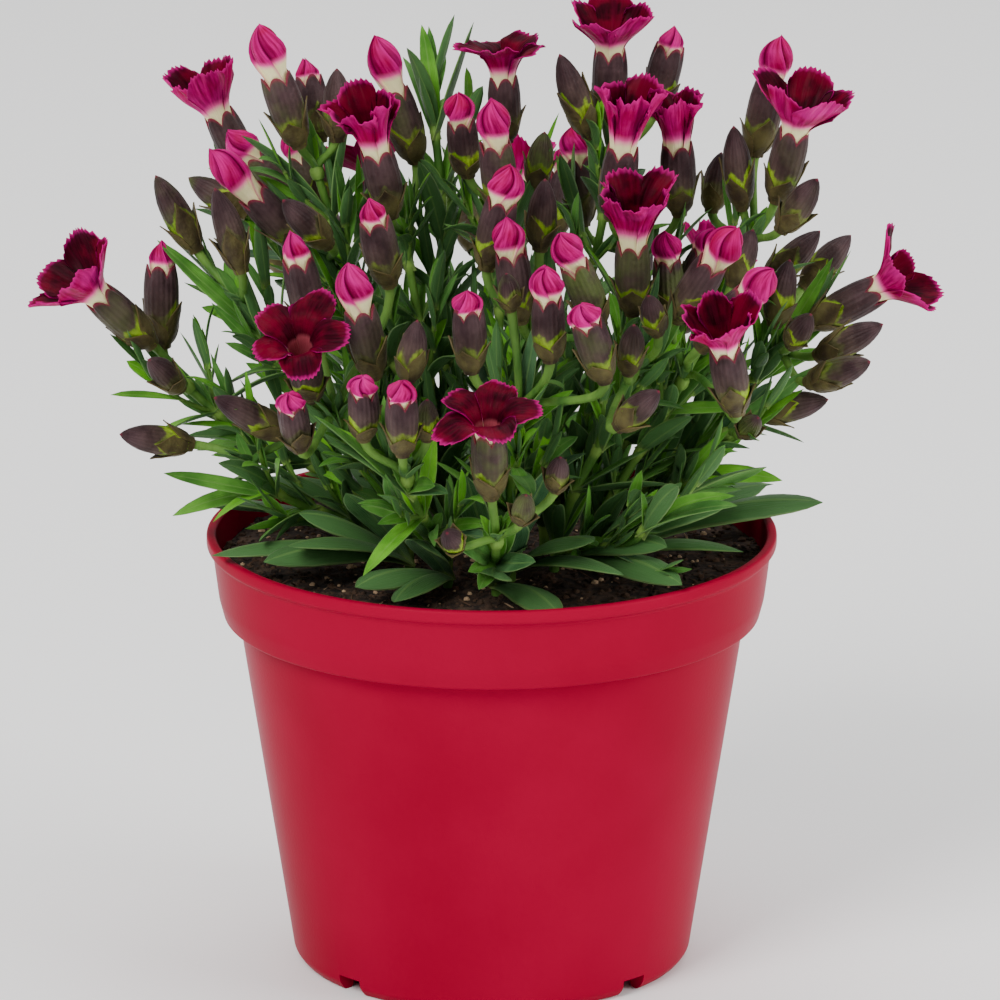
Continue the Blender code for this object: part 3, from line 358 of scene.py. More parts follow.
notched = add_node(turning, "GeometryNodeMeshBoolean", {
    "Mesh 1": closed.outputs["Geometry"], "Mesh 2": cutters.outputs["Geometry"]},
    operation="DIFFERENCE", solver="EXACT")
end_tree(turning, notched.outputs["Mesh"], start, end)

outline_points = [Vector((radius - TURNING_RADIUS, -height, 0.0)) * MM for radius, height in pot_outline]
pot = line_object("nursery_pot", [outline_points], {})
grown(pot, turning, {
    "Finish": pot_finish, "Notch radius": (BASE_RADIUS - 0.6) * MM,
    "Notch size": (DRAIN_DEPTH * MM, DRAIN_WIDTH * MM, 2.0 * DRAIN_HEIGHT * MM)})
pot.data.shade_smooth()
pot.data.set_sharp_from_angle(angle=POT_SHARP)
dress(pot, "pot")


# The potting soil is dark peat, watered in to 6 mm below the lip. Its top is a loose crust of crumbs and
# short fibres with pale specks, heaped a little in the middle; it is only pressed into the pot.
SOIL_LEVEL = -6.0
SOIL_MOUND = 1.4
SOIL_FLOOR = 7.0
SOIL_RINGS = 44
SOIL_SPOKES = 120
SOIL_GAP = 0.5              # between the peat and the pot's wall
MOUND_REACH = 56.0          # how far out the mound has come down to the soil's level
LUMP_HEIGHT = 0.42
LUMPS_PER_MM = 0.11
PEAT_SCATTER = (            # name, bits per square metre, seed, least and greatest size, length
    ("peat_crumbs", 270000.0, 5, 0.00022, 0.00080, 1.0),
    ("peat_lumps", 42000.0, 7, 0.0007, 0.0014, 1.1),
    ("peat_fibres", 30000.0, 11, 0.00022, 0.00032, 14.0),
)


def soil_height(x, y):
    """Height of the crust above the lip at a place across the pot."""
    out = math.hypot(x, y)
    lumps = noise.fractal(Vector((x, y, 3.0)) * LUMPS_PER_MM, 0.8, 2.1, 4)
    return SOIL_LEVEL + SOIL_MOUND * (1.0 - out / MOUND_REACH) + LUMP_HEIGHT * lumps


peat_finish, tree, shader = finish_of("peat", 0.93)
clods = mottle(tree, 420.0, 6.0)
dark = mixed(tree, ramp(tree, clods, 0.35, 0.68), (0.010, 0.006, 0.0045), (0.066, 0.038, 0.024))
tree.links.new(dark, shader.inputs["Base Color"])
roughen(tree, shader, clods, 0.0012)

crumb_finish, tree, shader = finish_of("peat_crumbs", 0.9)
shade = painted(tree, "shade")
brown = mixed(tree, shade, (0.012, 0.007, 0.005), (0.085, 0.046, 0.026))
pale = mixed(tree, ramp(tree, shade, 0.915, 0.93), brown, (0.44, 0.30, 0.18))
tree.links.new(pale, shader.inputs["Base Color"])
roughen(tree, shader, mottle(tree, 1800.0, 4.0), 0.0003)

crust_radius = BAND_RADIUS - WALL - SOIL_GAP - 0.05
soil_rings = [(crust_radius * (number / SOIL_RINGS) ** 0.9, None) for number in range(1, SOIL_RINGS + 1)]
soil_rings += [
    (LINE_RADIUS - WALL - SOIL_GAP, BAND_FOOT + BAND_BEVEL - 0.4),
    (BODY_TOP_RADIUS - WALL - SOIL_GAP, BAND_FOOT - 1.6),
    (body_radius(SOIL_FLOOR) - WALL - SOIL_GAP, SOIL_FLOOR),
]
soil_places = []
for radius, height in soil_rings:
    for spoke in range(SOIL_SPOKES):
        turn = math.tau * spoke / SOIL_SPOKES
        x = radius * math.cos(turn)
        y = radius * math.sin(turn)
        z = POT_HEIGHT + soil_height(x, y) if height is None else height
        soil_places.append(tuple(Vector((x, y, z)) * MM))
soil_faces = []
for first in range(0, len(soil_places) - SOIL_SPOKES, SOIL_SPOKES):
    for spoke in range(SOIL_SPOKES):
        a = first + spoke
        b = first + (spoke + 1) % SOIL_SPOKES
        soil_faces.append((a, a + SOIL_SPOKES, b + SOIL_SPOKES, b))
soil_faces.append(tuple(range(SOIL_SPOKES)))
soil_faces.append(tuple(reversed(range(len(soil_places) - SOIL_SPOKES, len(soil_places)))))
soil_mesh = bpy.data.meshes.new("potting_soil")
soil_mesh.from_pydata(soil_places, [], soil_faces)
soil_mesh.shade_smooth()
soil_mesh.materials.append(peat_finish)
soil = add_object("potting_soil", soil_mesh)
dress(soil, "soil")



def random_value(tree, seed, low, high, kind="FLOAT"):
    """A random number or vector between two, for each place."""
    values = {"Seed": seed, "Min": low, "Max": high}
    return add_node(tree, "FunctionNodeRandomValue", values, data_type=kind).outputs["Value"]


scatter, start, end = node_tree("scatter_crumbs", (
    ("Count per area", "Float", 400000.0), ("Seed", "Int", 5), ("Smallest", "Float", 0.0003),
    ("Largest", "Float", 0.0011), ("Length", "Float", 1.0), ("Finish", "Material", None),
))
points = add_node(scatter, "GeometryNodeDistributePointsOnFaces", {
    "Mesh": start.outputs["Geometry"], "Density": start.outputs["Count per area"],
    "Seed": start.outputs["Seed"]})
lump = add_node(scatter, "GeometryNodeMeshIcoSphere", {"Radius": 1.0, "Subdivisions": 1})
shape = add_node(scatter, "ShaderNodeCombineXYZ", {
    "X": maths(scatter, "MULTIPLY", random_value(scatter, 3, 0.6, 1.0), start.outputs["Length"]),
    "Y": random_value(scatter, 4, 0.6, 1.0), "Z": random_value(scatter, 6, 0.5, 0.8)})
sized = add_node(scatter, "ShaderNodeVectorMath", {
    0: shape.outputs["Vector"],
    "Scale": random_value(scatter, 2, start.outputs["Smallest"], start.outputs["Largest"])},
    operation="SCALE")
crumbs = add_node(scatter, "GeometryNodeInstanceOnPoints", {
    "Points": points.outputs["Points"], "Instance": lump.outputs["Mesh"],
    "Rotation": random_value(scatter, 8, (-0.5, -0.5, 0.0), (0.5, 0.5, math.tau), "FLOAT_VECTOR"),
    "Scale": sized.outputs["Vector"]})
shaded = add_node(scatter, "GeometryNodeStoreNamedAttribute", {
    "Geometry": crumbs.outputs["Instances"], "Name": "shade",
    "Value": random_value(scatter, 9, 0.0, 1.0)}, data_type="FLOAT", domain="INSTANCE")
end_tree(scatter, shaded.outputs["Geometry"], start, end)


crust_count = SOIL_RINGS * SOIL_SPOKES
crust_faces = [tuple(reversed(face)) for face in soil_faces if max(face) < crust_count]
for name, density, seed, smallest, largest, length in PEAT_SCATTER:
    crust = bpy.data.meshes.new(name)
    crust.from_pydata(soil_places[:crust_count], [], crust_faces)
    peat_bits = add_object(name, crust)
    grown(peat_bits, scatter, {
        "Count per area": density, "Seed": seed, "Smallest": smallest, "Largest": largest,
        "Length": length, "Finish": crumb_finish})
    dress(peat_bits, "soil")


# The stems are soft, blue-green and 2 mm thick. Sixteen stand in plain holes in the soil and branch near
# the ground; each shoot has a swollen pale joint every 11 mm or so, where two leaves face each other.
# The plan of the plant is worked out first: where each joint, head and leaf is, clear of its neighbours.
SEED = 23
CLEAR = 0.35                # least gap between separate pieces
SOIL_ROUGHNESS = 0.6
HOLE_DEPTH = 8.0
STEM_RADIUS = 1.15
STALK_RADIUS = 0.85
STEM_SIDES = 4
STEM_STEPS = 6
COLLAR_RISE = 2.5           # above the soil, where a stem starts to bend
ROUTE_LEAD = 0.3            # how stiffly a stem leaves its foot and enters its joint
ROUTE_TRAIL = 0.33
SHOOT_TURN = 0.37           # turns each shoot's leaf pairs round its own stem
OWN_CLEAR = 0.3             # least gap between two leaves of one stem
STALK_STEPS = 2
JOINT_SPACING = 11.5        # between two pairs of leaves
LEAF_LENGTH = 27.0
LEAF_HALF_WIDTH = 2.05
LEAF_TRIES = 20
LEAF_SPREAD = (0.86, 1.14)  # leaves of one shoot differ by this much
LEAF_TAPER = 0.42           # how much shorter the last leaves are than the first
LEAF_SLIMMING = 0.5
TIP_PAIR = 1.6              # a shoot without heads ends this far above its last pair
TIP_LEAN = 0.3              # and there leaves lean out this much of what they do at its foot
LEAF_LIFT = (26.0, 54.0)    # degrees by which a leaf leaves its stem
LEAF_DROOP = (0.02, 0.34)
LEAF_SWEEP = 0.08           # sideways, either way
BLADE_BEAD = 0.5            # radius of the beads that a leaf fills
BLADE_STATIONS = (0.2, 0.35, 0.5, 0.65, 0.8, 1.0)
BLADE_LATERALS = (-0.8, 0.0, 0.8)
FIRST_PAIR = 13.0           # from a stem's foot in the soil to its first leaves
FIRST_FORK_PAIR = 7.0       # and from a fork to a branch's first leaves
LAST_PAIR = 2.4             # leaves end this far below a joint with heads
LAST_LEAFY_PAIR = 5.0       # and this far below a tip without
LEAF_GAP = CLEAR + 0.15
BASAL_HALF_WIDTH = 3.3
BASAL_REACH = 30.0          # stem feet this far out, in a leaf's own direction, suit it best
BASAL_TRIES = 10
BASAL_START = 3.0           # above the soil, and how much higher each try starts
BASAL_START_STEP = 0.4
BASAL_RISE = 0.32           # how steeply it leaves the stem, and how much steeper each try does
BASAL_RISE_STEP = 0.14
CALYX_LENGTH = 15.0
CALYX_RADIUS = 3.7
SLIMMEST_CALYX = 1.6        # belly radius of the shortest, and how it grows with length
CALYX_SWELL = 0.145
BUD_SLIMNESS = 0.84         # a shut calyx against an open one of its length
TOOTH_RISE = 1.5
TOOTH_DROP = 0.9
MOUTH_DEPTH = 3.2
CALYX_SHARE = {"small": 1.0, "bud": 1.0, "tipped": 0.72, "dome": 0.74}
OPEN_CALYX_SHARE = 0.62     # how much of a head is calyx
PETAL_LENGTH = 13.5
PETAL_HALF_WIDTH = 6.4
THROAT_RISE = 2.8           # from a calyx's mouth to where its petals part
THROAT_RADIUS = 1.3
SMALLEST_PETAL = 0.78       # as a share of a full one
PETAL_HALVES = (0.46, 0.54)
PETAL_STRAY = 8.0           # degrees by which petals differ in their lean
CLAW_BEAD = 1.4             # radius of the beads that petals fill
LIMB_BEAD = 1.5
LIMB_LATERALS = (-0.62, 0.0, 0.62)
ROLLED_ROOM = 0.62          # radius of rolled petals, as a share of their calyx
TIP_RISE = 2.2              # of the joint that carries a shoot's stalks
TIP_BEAD = 1.7
PETAL_POSE = {              # degrees by which a petal's near and far half lean out
    "open": (56.0, 34.0),
    "cup": (46.0, 18.0),
    "star": (42.0, 74.0),
    "flat": (52.0, 90.0),
    "crumpled": (27.0, 22.0),
}

# Each shoot: its joint, then its heads as kind, foot and tip. A head's tip is where it points to.
SHOOTS = {
    "far_left": ((-63, -2, 31), (
        ("open", (-71, -5, 42), (-90, -12, 62)),
        ("tipped", (-69, 5, 39), (-69, 6, 61)),
        ("bud", (-65, -11, 34), (-71, -18, 42)),
    )),
    "low_left": ((-49, -16, 17), (
        ("bud", (-63, -15, 23), (-77, -22, 27)),
        ("bud", (-43, -25, 28), (-57, -33, 38)),
    )),
    "mid_left": ((-50, -3, 47), (
        ("bud", (-62, 5, 60), (-70, 3, 76)),
        ("bud", (-52, -12, 60), (-57, -16, 78)),
        ("small", (-54, 3, 59), (-55, 4, 67)),
    )),
    "upper_left": ((-33, 4, 54), (
        ("furled", (-40, 0, 62), (-58, -8, 84)),
        ("furled", (-40, 12, 67), (-55, 12, 83)),
        ("furled", (-35, 20, 65), (-43, 24, 80)),
        ("bud", (-34, -11, 65), (-43, -18, 76)),
    )),
    "high_left": ((-44, 30, 56), (
        ("cup", (-51, 30, 68), (-62, 30, 92)),
        ("bud", (-52, 22, 63), (-64, 25, 70)),
    )),
    "back_left": ((-30, 46, 34), (
        ("open", (-33, 56, 44), (-40, 69, 60)),
        ("tipped", (-22, 58, 44), (-22, 72, 60)),
        ("bud", (-42, 50, 42), (-54, 58, 54)),
    )),
    "top_left": ((-36, 1, 76), (
        ("furled", (-40, -2, 84), (-48, -6, 110)),
        ("tipped", (-36, 9, 82), (-39, 14, 98)),
        ("bud", (-32, -1, 85), (-32, -2, 100)),
    )),
    "high_mid": ((-18, 4, 60), (
        ("furled", (-16, 13, 77), (-24, 10, 104)),
        ("crumpled", (-21, -10, 71), (-26, -19, 97)),
        ("open", (-22, 20, 60), (-26, 28, 75)),
    )),
    "front_left": ((-31, -26, 30), (
        ("furled", (-24, -37, 44), (-29, -44, 69)),
        ("flat", (-37, -33, 38), (-40, -45, 56)),
        ("tipped", (-36, -20, 47), (-41, -26, 71)),
        ("dome", (-39, -50, 32), (-41, -56, 45)),
        ("tipped", (-21, -24, 60), (-25, -30, 79)),
    )),
    "front_mid": ((-17, -48, 24), (
        ("dome", (-26, -56, 36), (-26, -61, 50)),
        ("dome", (-18, -60, 34), (-18, -65, 50)),
        ("bud", (-13, -53, 35), (-13, -56, 44)),
        ("bud", (-17, -48, 46), (-15, -50, 59)),
    )),
    "front": ((1, -52, 12), (
        ("flat", (0, -60, 25), (-1, -67, 47)),
        ("small", (6, -62, 20), (7, -67, 27)),
        ("small", (-7, -60, 14), (-9, -67, 19)),
        ("small", (13, -56, 25), (14, -60, 33)),
    )),
    "mid": ((5, -37, 34), (
        ("dome", (-4, -48, 48), (-5, -51, 65)),
        ("furled", (12, -47, 50), (11, -50, 70)),
        ("dome", (23, -51, 47), (18, -57, 64)),
        ("small", (4, -45, 60), (3, -47, 68)),
    )),
    "mid_high": ((8, -22, 44), (
        ("furled", (6, -31, 54), (3, -34, 76)),
        ("furled", (22, -34, 54), (14, -39, 74)),
        ("furled", (-1, -26, 64), (4, -30, 86)),
        ("bud", (10, -18, 66), (11, -20, 81)),
    )),
    "mid_right": ((29, -21, 38), (
        ("crumpled", (29, -20, 53), (29, -28, 82)),
        ("bud", (28, -42, 46), (29, -46, 57)),
        ("bud", (34, -34, 52), (32, -38, 61)),
        ("bud", (26, -51, 37), (34, -57, 46)),
        ("furled", (37, -12, 50), (36, -14, 68)),
    )),
    "right_front": ((39, -17, 36), (
        ("furled", (40, -6, 52), (46, -8, 67)),
        ("furled", (38, -26, 53), (50, -34, 74)),
        ("bud", (50, -13, 57), (54, -15, 69)),
        ("furled", (43, -37, 50), (57, -45, 68)),
        ("cup", (50, -43, 38), (46, -52, 61)),
    )),
    "far_right": ((58, -2, 37), (
        ("open", (67, 0, 45), (89, -4, 58)),
        ("bud", (68, -11, 41), (81, -16, 49)),
        ("bud", (66, -18, 37), (78, -27, 44)),
        ("small", (62, -14, 44), (66, -19, 52)),
        ("bud", (59, -4, 46), (62, -5, 60)),
        ("bud", (58, 12, 51), (69, 15, 61)),
        ("bud", (66, 22, 47), (76, 27, 57)),
    )),
    "low_right": ((48, -14, 24), (
        ("bud", (56, -10, 28), (70, -13, 32)),
        ("small", (52, -22, 27), (55, -27, 32)),
    )),
    "high_right": ((53, -2, 60), (
        ("open", (59, -5, 73), (66, -11, 102)),
        ("furled", (55, 7, 80), (60, 5, 105)),
        ("bud", (52, -2, 71), (50, -7, 89)),
        ("bud", (46, 9, 67), (48, 11, 79)),
        ("bud", (60, -14, 69), (67, -20, 81)),
    )),
    "top_right": ((25, 4, 76), (
        ("open", (24, 8, 86), (25, 5, 113)),
        ("bud", (20, -1, 86), (14, -6, 104)),
        ("tipped", (34, 9, 88), (38, 9, 106)),
    )),
    "upper_right": ((30, -3, 56), (
        ("crumpled", (25, -11, 71), (29, -19, 101)),
        ("crumpled", (39, 0, 69), (38, -5, 92)),
        ("furled", (19, 13, 63), (17, 16, 83)),
    )),
    "top": ((2, 1, 66), (
        ("star", (3, 10, 82), (2, 9, 102)),
        ("furled", (-5, -4, 78), (-7, -8, 96)),
        ("furled", (2, -12, 72), (0, -18, 97)),
        ("bud", (9, -2, 75), (11, -4, 87)),
    )),
    "back": ((4, 48, 34), (
        ("open", (5, 59, 46), (5, 73, 63)),
        ("furled", (13, 54, 50), (17, 62, 68)),
        ("bud", (-4, 58, 46), (-7, 70, 56)),
    )),
    "back_right": ((33, 40, 22), (
        ("open", (40, 50, 30), (50, 62, 46)),
        ("tipped", (30, 52, 34), (32, 66, 48)),
        ("bud", (46, 42, 30), (60, 49, 40)),
    )),
    "tall_leafy": ((-12, 15, 84), ()),
    "low_leafy_right": ((32, -38, 12), ()),
    "back_leafy": ((14, 66, 16), ()),
}

# Each stem that leaves the soil: where it stands, and the shoots that it carries
STEMS = (
    ("left", (-21, -2), ("far_left", "low_left")),
    ("inner_left", (-15, 4), ("mid_left", "upper_left")),
    ("back_left", (-16, 20), ("high_left", "back_left")),
    ("top_left", (-9, 2), ("top_left", "high_mid", "tall_leafy")),
    ("front_left", (-17, -14), ("front_left",)),
    ("front_mid", (-9, -24), ("front_mid",)),
    ("front", (1, -30), ("front",)),
    ("mid", (4, -20), ("mid",)),
    ("mid_high", (3, -11), ("mid_high",)),
    ("mid_right", (13, -14), ("mid_right", "low_leafy_right")),
    ("right_front", (21, -12), ("right_front",)),
    ("right", (28, -3), ("far_right", "low_right")),
    ("high_right", (20, 1), ("high_right",)),
    ("top_right", (11, 0), ("top_right", "upper_right")),
    ("top", (2, 4), ("top",)),
    ("back", (4, 26), ("back", "back_right", "back_leafy")),
)

# Broad leaves low down: where each one's tip lies
BASAL_TIPS = (
    (39, -47, 2), (14, -52, -3), (-7, -55, -3), (-20, -46, -2), (-28, -42, 0), (52, -30, 4),
    (58, 6, 8), (69, -14, 10), (57, -22, 20), (-62, -18, -3), (-64, 2, 5), (-58, -26, 2),
    (-47, -34, 3), (27, -50, 5), (-52, 24, 4), (-36, 46, 3), (-12, 56, 2), (16, 58, -2),
    (44, 44, 4), (60, 24, 3), (30, 52, 6), (64, 10, 2),
    (-30, -31, 17), (5, -46, 15), (21, -46, 11), (-16, -42, 10), (33, -31, 16), (46, -8, 22),
    (-45, -8, 15), (-40, -22, 10), (49, -20, 11), (-5, -36, 22), (40, 8, 28), (-42, 12, 20),
    (-42, -36, 7), (36, -40, 8), (12, -36, 24), (-24, 26, 22), (26, 22, 20), (0, -54, 6),
)


def unit(vector):
    """The direction of a vector."""
    return vector.normalized()


def across(axis, turn):
    """A direction at right angles to an axis, turned round it."""
    side = axis.cross(Vector((0.0, 0.0, 1.0)))
    if side.length < 0.05:
        side = Vector((1.0, 0.0, 0.0))
    side = unit(side - axis * side.dot(axis))
    return side * math.cos(turn) + axis.cross(side) * math.sin(turn)


def bezier(start, lead, trail, end, count):
    """Points along a cubic curve."""
    points = []
    for index in range(count + 1):
        t = index / count
        s = 1.0 - t
        points.append(start * s ** 3 + lead * (3 * s * s * t) + trail * (3 * s * t * t) + end * t ** 3)
    return points


def beads(points, radius):
    """A line of points as beads of one radius, close enough together to leave no gap."""
    found = []
    for start, end in zip(points, points[1:]):
        steps = max(1, int((end - start).length / 1.2))
        for index in range(steps + 1):
            place = start.lerp(end, index / steps)
            found.append((place.x, place.y, place.z, radius))
    return found


def head_parts(row):
    """Foot, mouth, axis and length of one head's calyx."""
    kind, foot, tip = row
    foot = Vector(foot)
    reach = Vector(tip) - foot
    axis = unit(reach)
    if kind in CALYX_SHARE:
        length = reach.length * CALYX_SHARE[kind]
    else:
        length = min(reach.length * OPEN_CALYX_SHARE, CALYX_LENGTH)
    return foot, foot + axis * length, axis, length


def calyx_radius(row):
    """Radius of the room kept for one head's calyx: short ones are slimmer."""
    return min(CALYX_RADIUS, SLIMMEST_CALYX + head_parts(row)[3] * CALYX_SWELL)


def belly_radius(row):
    """Greatest radius of one head's calyx: shut ones are slimmer than their room."""
    return calyx_radius(row) * (BUD_SLIMNESS if row[0] in ("bud", "small") else 1.0)


def is_open(kind):
    """Whether a head shows a whorl of spread petals."""
    return kind in PETAL_POSE


def petal_lines(row):
    """Throat, middle and edge of each of a flower's five petals, with its outward and side ways."""
    kind = row[0]
    foot, mouth, axis, length = head_parts(row)
    draw = random.Random(SEED + round(foot.x) * 101 + round(foot.y) * 7 + round(foot.z))
    reach = (Vector(row[2]) - mouth).length
    size = min(1.0, max(SMALLEST_PETAL, reach / PETAL_LENGTH))
    turn = draw.uniform(0.0, math.tau)
    petals = []
    for index in range(5):
        out = across(axis, turn + math.tau * index / 5)
        near, far = PETAL_POSE[kind]
        stray = draw.uniform(-PETAL_STRAY, PETAL_STRAY)
        near = math.radians(near + stray * 0.5)
        far = math.radians(far + stray)
        throat = mouth + axis * THROAT_RISE + out * THROAT_RADIUS
        half = PETAL_LENGTH * size * draw.uniform(*PETAL_HALVES)
        middle = throat + (axis * math.cos(near) + out * math.sin(near)) * half
        edge = middle + (axis * math.cos(far) + out * math.sin(far)) * half
        petals.append((throat, middle, edge, out, axis.cross(out), size))
    return petals


def head_beads(row):
    """Beads that fill one head: its calyx and its petals."""
    kind = row[0]
    foot, mouth, axis, length = head_parts(row)
    radius = calyx_radius(row)
    found = beads([foot, foot.lerp(mouth, 0.3)], radius * 0.8)
    found += beads([foot.lerp(mouth, 0.3), foot.lerp(mouth, 0.85)], radius)
    found += beads([foot.lerp(mouth, 0.85), mouth], radius * 0.75)
    if is_open(kind):
        for throat, middle, edge, out, side, size in petal_lines(row):
            found += beads([throat, middle], CLAW_BEAD)
            for lateral in LIMB_LATERALS:
                shift = side * (PETAL_HALF_WIDTH * size * lateral)
                found += beads([middle + shift * 0.8, edge + shift], LIMB_BEAD)
    elif kind in ("furled", "dome", "tipped"):
        found += beads([mouth, Vector(row[2]) - axis], radius * ROLLED_ROOM)
    return found


def stalk_points(joint, aim, row):
    """The stalk from a shoot's joint to the foot of one of its heads."""
    foot, mouth, axis, length = head_parts(row)
    start = joint + aim * 1.0
    reach = (foot - start).length
    return bezier(start, start + aim * (reach * 0.35), foot - axis * (reach * 0.4), foot, STALK_STEPS)


def shoot_aim(name):
    """The way in which a shoot's joint points: between its heads and straight up."""
    joint, heads = SHOOTS[name]
    joint = Vector(joint)
    aim = Vector((joint.x * 0.012, joint.y * 0.012, 1.0))
    for row in heads:
        aim += unit(Vector(row[1]) - joint) * (1.2 / len(heads))
    return unit(aim)


def stem_routes(stem):
    """The way of each of a stem's shoots, from the soil or from the first shoot up to its joint."""
    name, (root_x, root_y), shoots = stem
    root = Vector((root_x, root_y, SOIL_LEVEL - HOLE_DEPTH + 1.0))
    collar = Vector((root_x, root_y, SOIL_LEVEL + COLLAR_RISE))
    routes = {}
    first = None
    for index, shoot in enumerate(shoots):
        joint = Vector(SHOOTS[shoot][0])
        aim = shoot_aim(shoot)
        end = joint - aim * CLEAR
        if first is None:
            reach = (end - collar).length
            lead = collar + Vector((0.0, 0.0, reach * ROUTE_LEAD))
            points = [root] + bezier(collar, lead, end - aim * (reach * ROUTE_TRAIL), end, STEM_STEPS)
            first = points
        else:
            start = first[1].lerp(first[2], 0.25 + 0.5 * (index - 1))
            reach = (end - start).length
            way = unit(unit(end - start) + Vector((0.0, 0.0, 0.35)))
            lead = start + way * (reach * ROUTE_LEAD)
            points = bezier(start, lead, end - aim * (reach * ROUTE_TRAIL), end, STEM_STEPS)
        routes[shoot] = points
    return routes


def line_length(points):
    """Length of a line through points."""
    return sum((b - a).length for a, b in zip(points, points[1:]))


def point_along(points, distance):
    """Place, direction and nearest point before it, at a distance along a line through points."""
    for index, (start, end) in enumerate(zip(points, points[1:])):
        step = (end - start).length
        if distance <= step:
            return start.lerp(end, distance / step), unit(end - start), index
        distance -= step
    return points[-1].copy(), unit(points[-1] - points[-2]), len(points) - 2


def blade_point(blade, t):
    """Middle of a blade at t, from 0 at its root to 1 at its tip."""
    root, aim, bend, side, length, half_width = blade
    return root + aim * (length * t) + bend * (length * t * t)


def blade_beads(blade):
    """Beads along the middle and the two edges of a blade, past its root."""
    root, aim, bend, side, length, half_width = blade
    found = []
    for lateral in BLADE_LATERALS:
        line = []
        for t in BLADE_STATIONS:
            shift = side * (half_width * lateral * min(1.0, 2.6 * (1.0 - t)))
            line.append(blade_point(blade, t) + shift)
        found += beads(line, BLADE_BEAD)
    return found


def spoke(frame, angle):
    """A direction across a line, turned by an angle in its frame."""
    return frame[0] * math.cos(angle) + frame[1] * math.sin(angle)


def leaf_way(shoot, side, frame, axis):
    """The way out of a shoot on one of its sides."""
    out = spoke(frame, SHOOT_TURN * len(shoot) + math.tau * (side + 0.5) / STEM_SIDES)
    return unit(out - axis * out.dot(axis))


def blade(root, axis, out, lift, length, half_width, droop, sweep):
    """One leaf: it leaves its stem at a lift from it, bends down by droop and sideways by sweep."""
    aim = unit(axis * math.cos(lift) + out * math.sin(lift))
    side = unit(axis.cross(out))
    bend = out * (0.25 * droop) + side * sweep - Vector((0.0, 0.0, droop))
    return root, aim, bend, side, length, half_width


def clear_of(found, taken):
    """Least gap between two sets of beads."""
    if len(taken) == 0:
        return 99.0
    mine = np.array(found)
    reach = mine[:, 3].max() + taken[:, 3].max() + 3.0
    low = mine[:, :3].min(axis=0) - reach
    high = mine[:, :3].max(axis=0) + reach
    near = taken[np.all((taken[:, :3] > low) & (taken[:, :3] < high), axis=1)]
    if len(near) == 0:
        return 99.0
    gaps = np.linalg.norm(mine[:, None, :3] - near[None, :, :3], axis=2)
    return float((gaps - mine[:, None, 3] - near[None, :, 3]).min())


def clear_of_pot(found):
    """Whether beads stay above the soil and clear of the pot's lip and side."""
    for x, y, z, radius in found:
        out = math.hypot(x, y)
        if out < LIP_RADIUS - 5.0:
            if z - radius < SOIL_LEVEL + SOIL_MOUND + SOIL_ROUGHNESS + CLEAR:
                return False
        elif out < LIP_RADIUS + 2.0:
            if z - radius < 0.6:
                return False
    return True


def place_blade(stem, place, axis, out, length, width, lean, crowd, draw):
    """One leaf, lifted and bent until it is clear of what is already there; None if it never is."""
    name = stem[0]
    taken = crowd.others(name)
    for attempt in range(LEAF_TRIES):
        lift = math.radians(draw.uniform(*LEAF_LIFT)) * lean
        size = length * (1.0 - 0.03 * attempt)
        droop = draw.uniform(*LEAF_DROOP)
        sweep = draw.uniform(-LEAF_SWEEP, LEAF_SWEEP) * (1.0 + 0.6 * attempt)
        leaf = blade(place, axis, out, lift, size, width, droop, sweep)
        found = blade_beads(leaf)
        if not clear_of_pot(found) or clear_of(found, taken) < LEAF_GAP:
            continue
        if clear_of(found, crowd.own(name)) < OWN_CLEAR:
            continue
        crowd.add(name, found)
        return leaf
    return None


def ring_frames(points):
    """For each point of a line, two directions across it that turn as little as possible."""
    frames = []
    normal = None
    for index, point in enumerate(points):
        before = points[max(0, index - 1)]
        after = points[min(len(points) - 1, index + 1)]
        tangent = unit(after - before)
        if normal is None:
            normal = across(tangent, 0.0)
        normal = unit(normal - tangent * normal.dot(tangent))
        frames.append((normal, tangent.cross(normal)))
    return frames


def shoot_pairs(stem, shoot, points, crowd):
    """The joints of one shoot: how far along each is, and its two leaves by the stem's side."""
    draw = random.Random(SEED + sum(ord(letter) for letter in shoot))
    frames = ring_frames(points)
    whole = line_length(points)
    leafy = not SHOOTS[shoot][1]
    along = FIRST_PAIR if points[0].z < SOIL_LEVEL else FIRST_FORK_PAIR
    joints = []
    while along < whole - LAST_PAIR:
        joints.append(along)
        along += JOINT_SPACING * draw.uniform(0.85, 1.15)
    if leafy:
        joints = [along for along in joints if along < whole - LAST_LEAFY_PAIR] + [whole - TIP_PAIR]
    pairs = []
    for along in joints:
        place, axis, index = point_along(points, along)
        share = along / whole
        length = LEAF_LENGTH * (1.04 - LEAF_TAPER * share) * draw.uniform(*LEAF_SPREAD)
        width = LEAF_HALF_WIDTH * (1.25 - LEAF_SLIMMING * share)
        lean = 1.0
        if leafy:
            length = LEAF_LENGTH * draw.uniform(0.85, 1.05)
            lean = 1.0 - (1.0 - TIP_LEAN) * share ** 2
        leaves = {}
        for side in (len(pairs) % 2, len(pairs) % 2 + 2):
            out = leaf_way(shoot, side, frames[index], axis)
            leaf = place_blade(stem, place, axis, out, length, width, lean, crowd, draw)
            if leaf:
                leaves[side] = leaf
        pairs.append((along, leaves))
    return pairs


def basal_blade(root, tip, rise):
    """One broad low leaf, which rises from its stem and comes down at its tip."""
    reach = tip - root
    aim = unit(reach) + Vector((0.0, 0.0, rise))
    bend = Vector((0.0, 0.0, -rise))
    side = unit(reach.cross(Vector((0.0, 0.0, 1.0))))
    return root, aim, bend, side, reach.length, BASAL_HALF_WIDTH


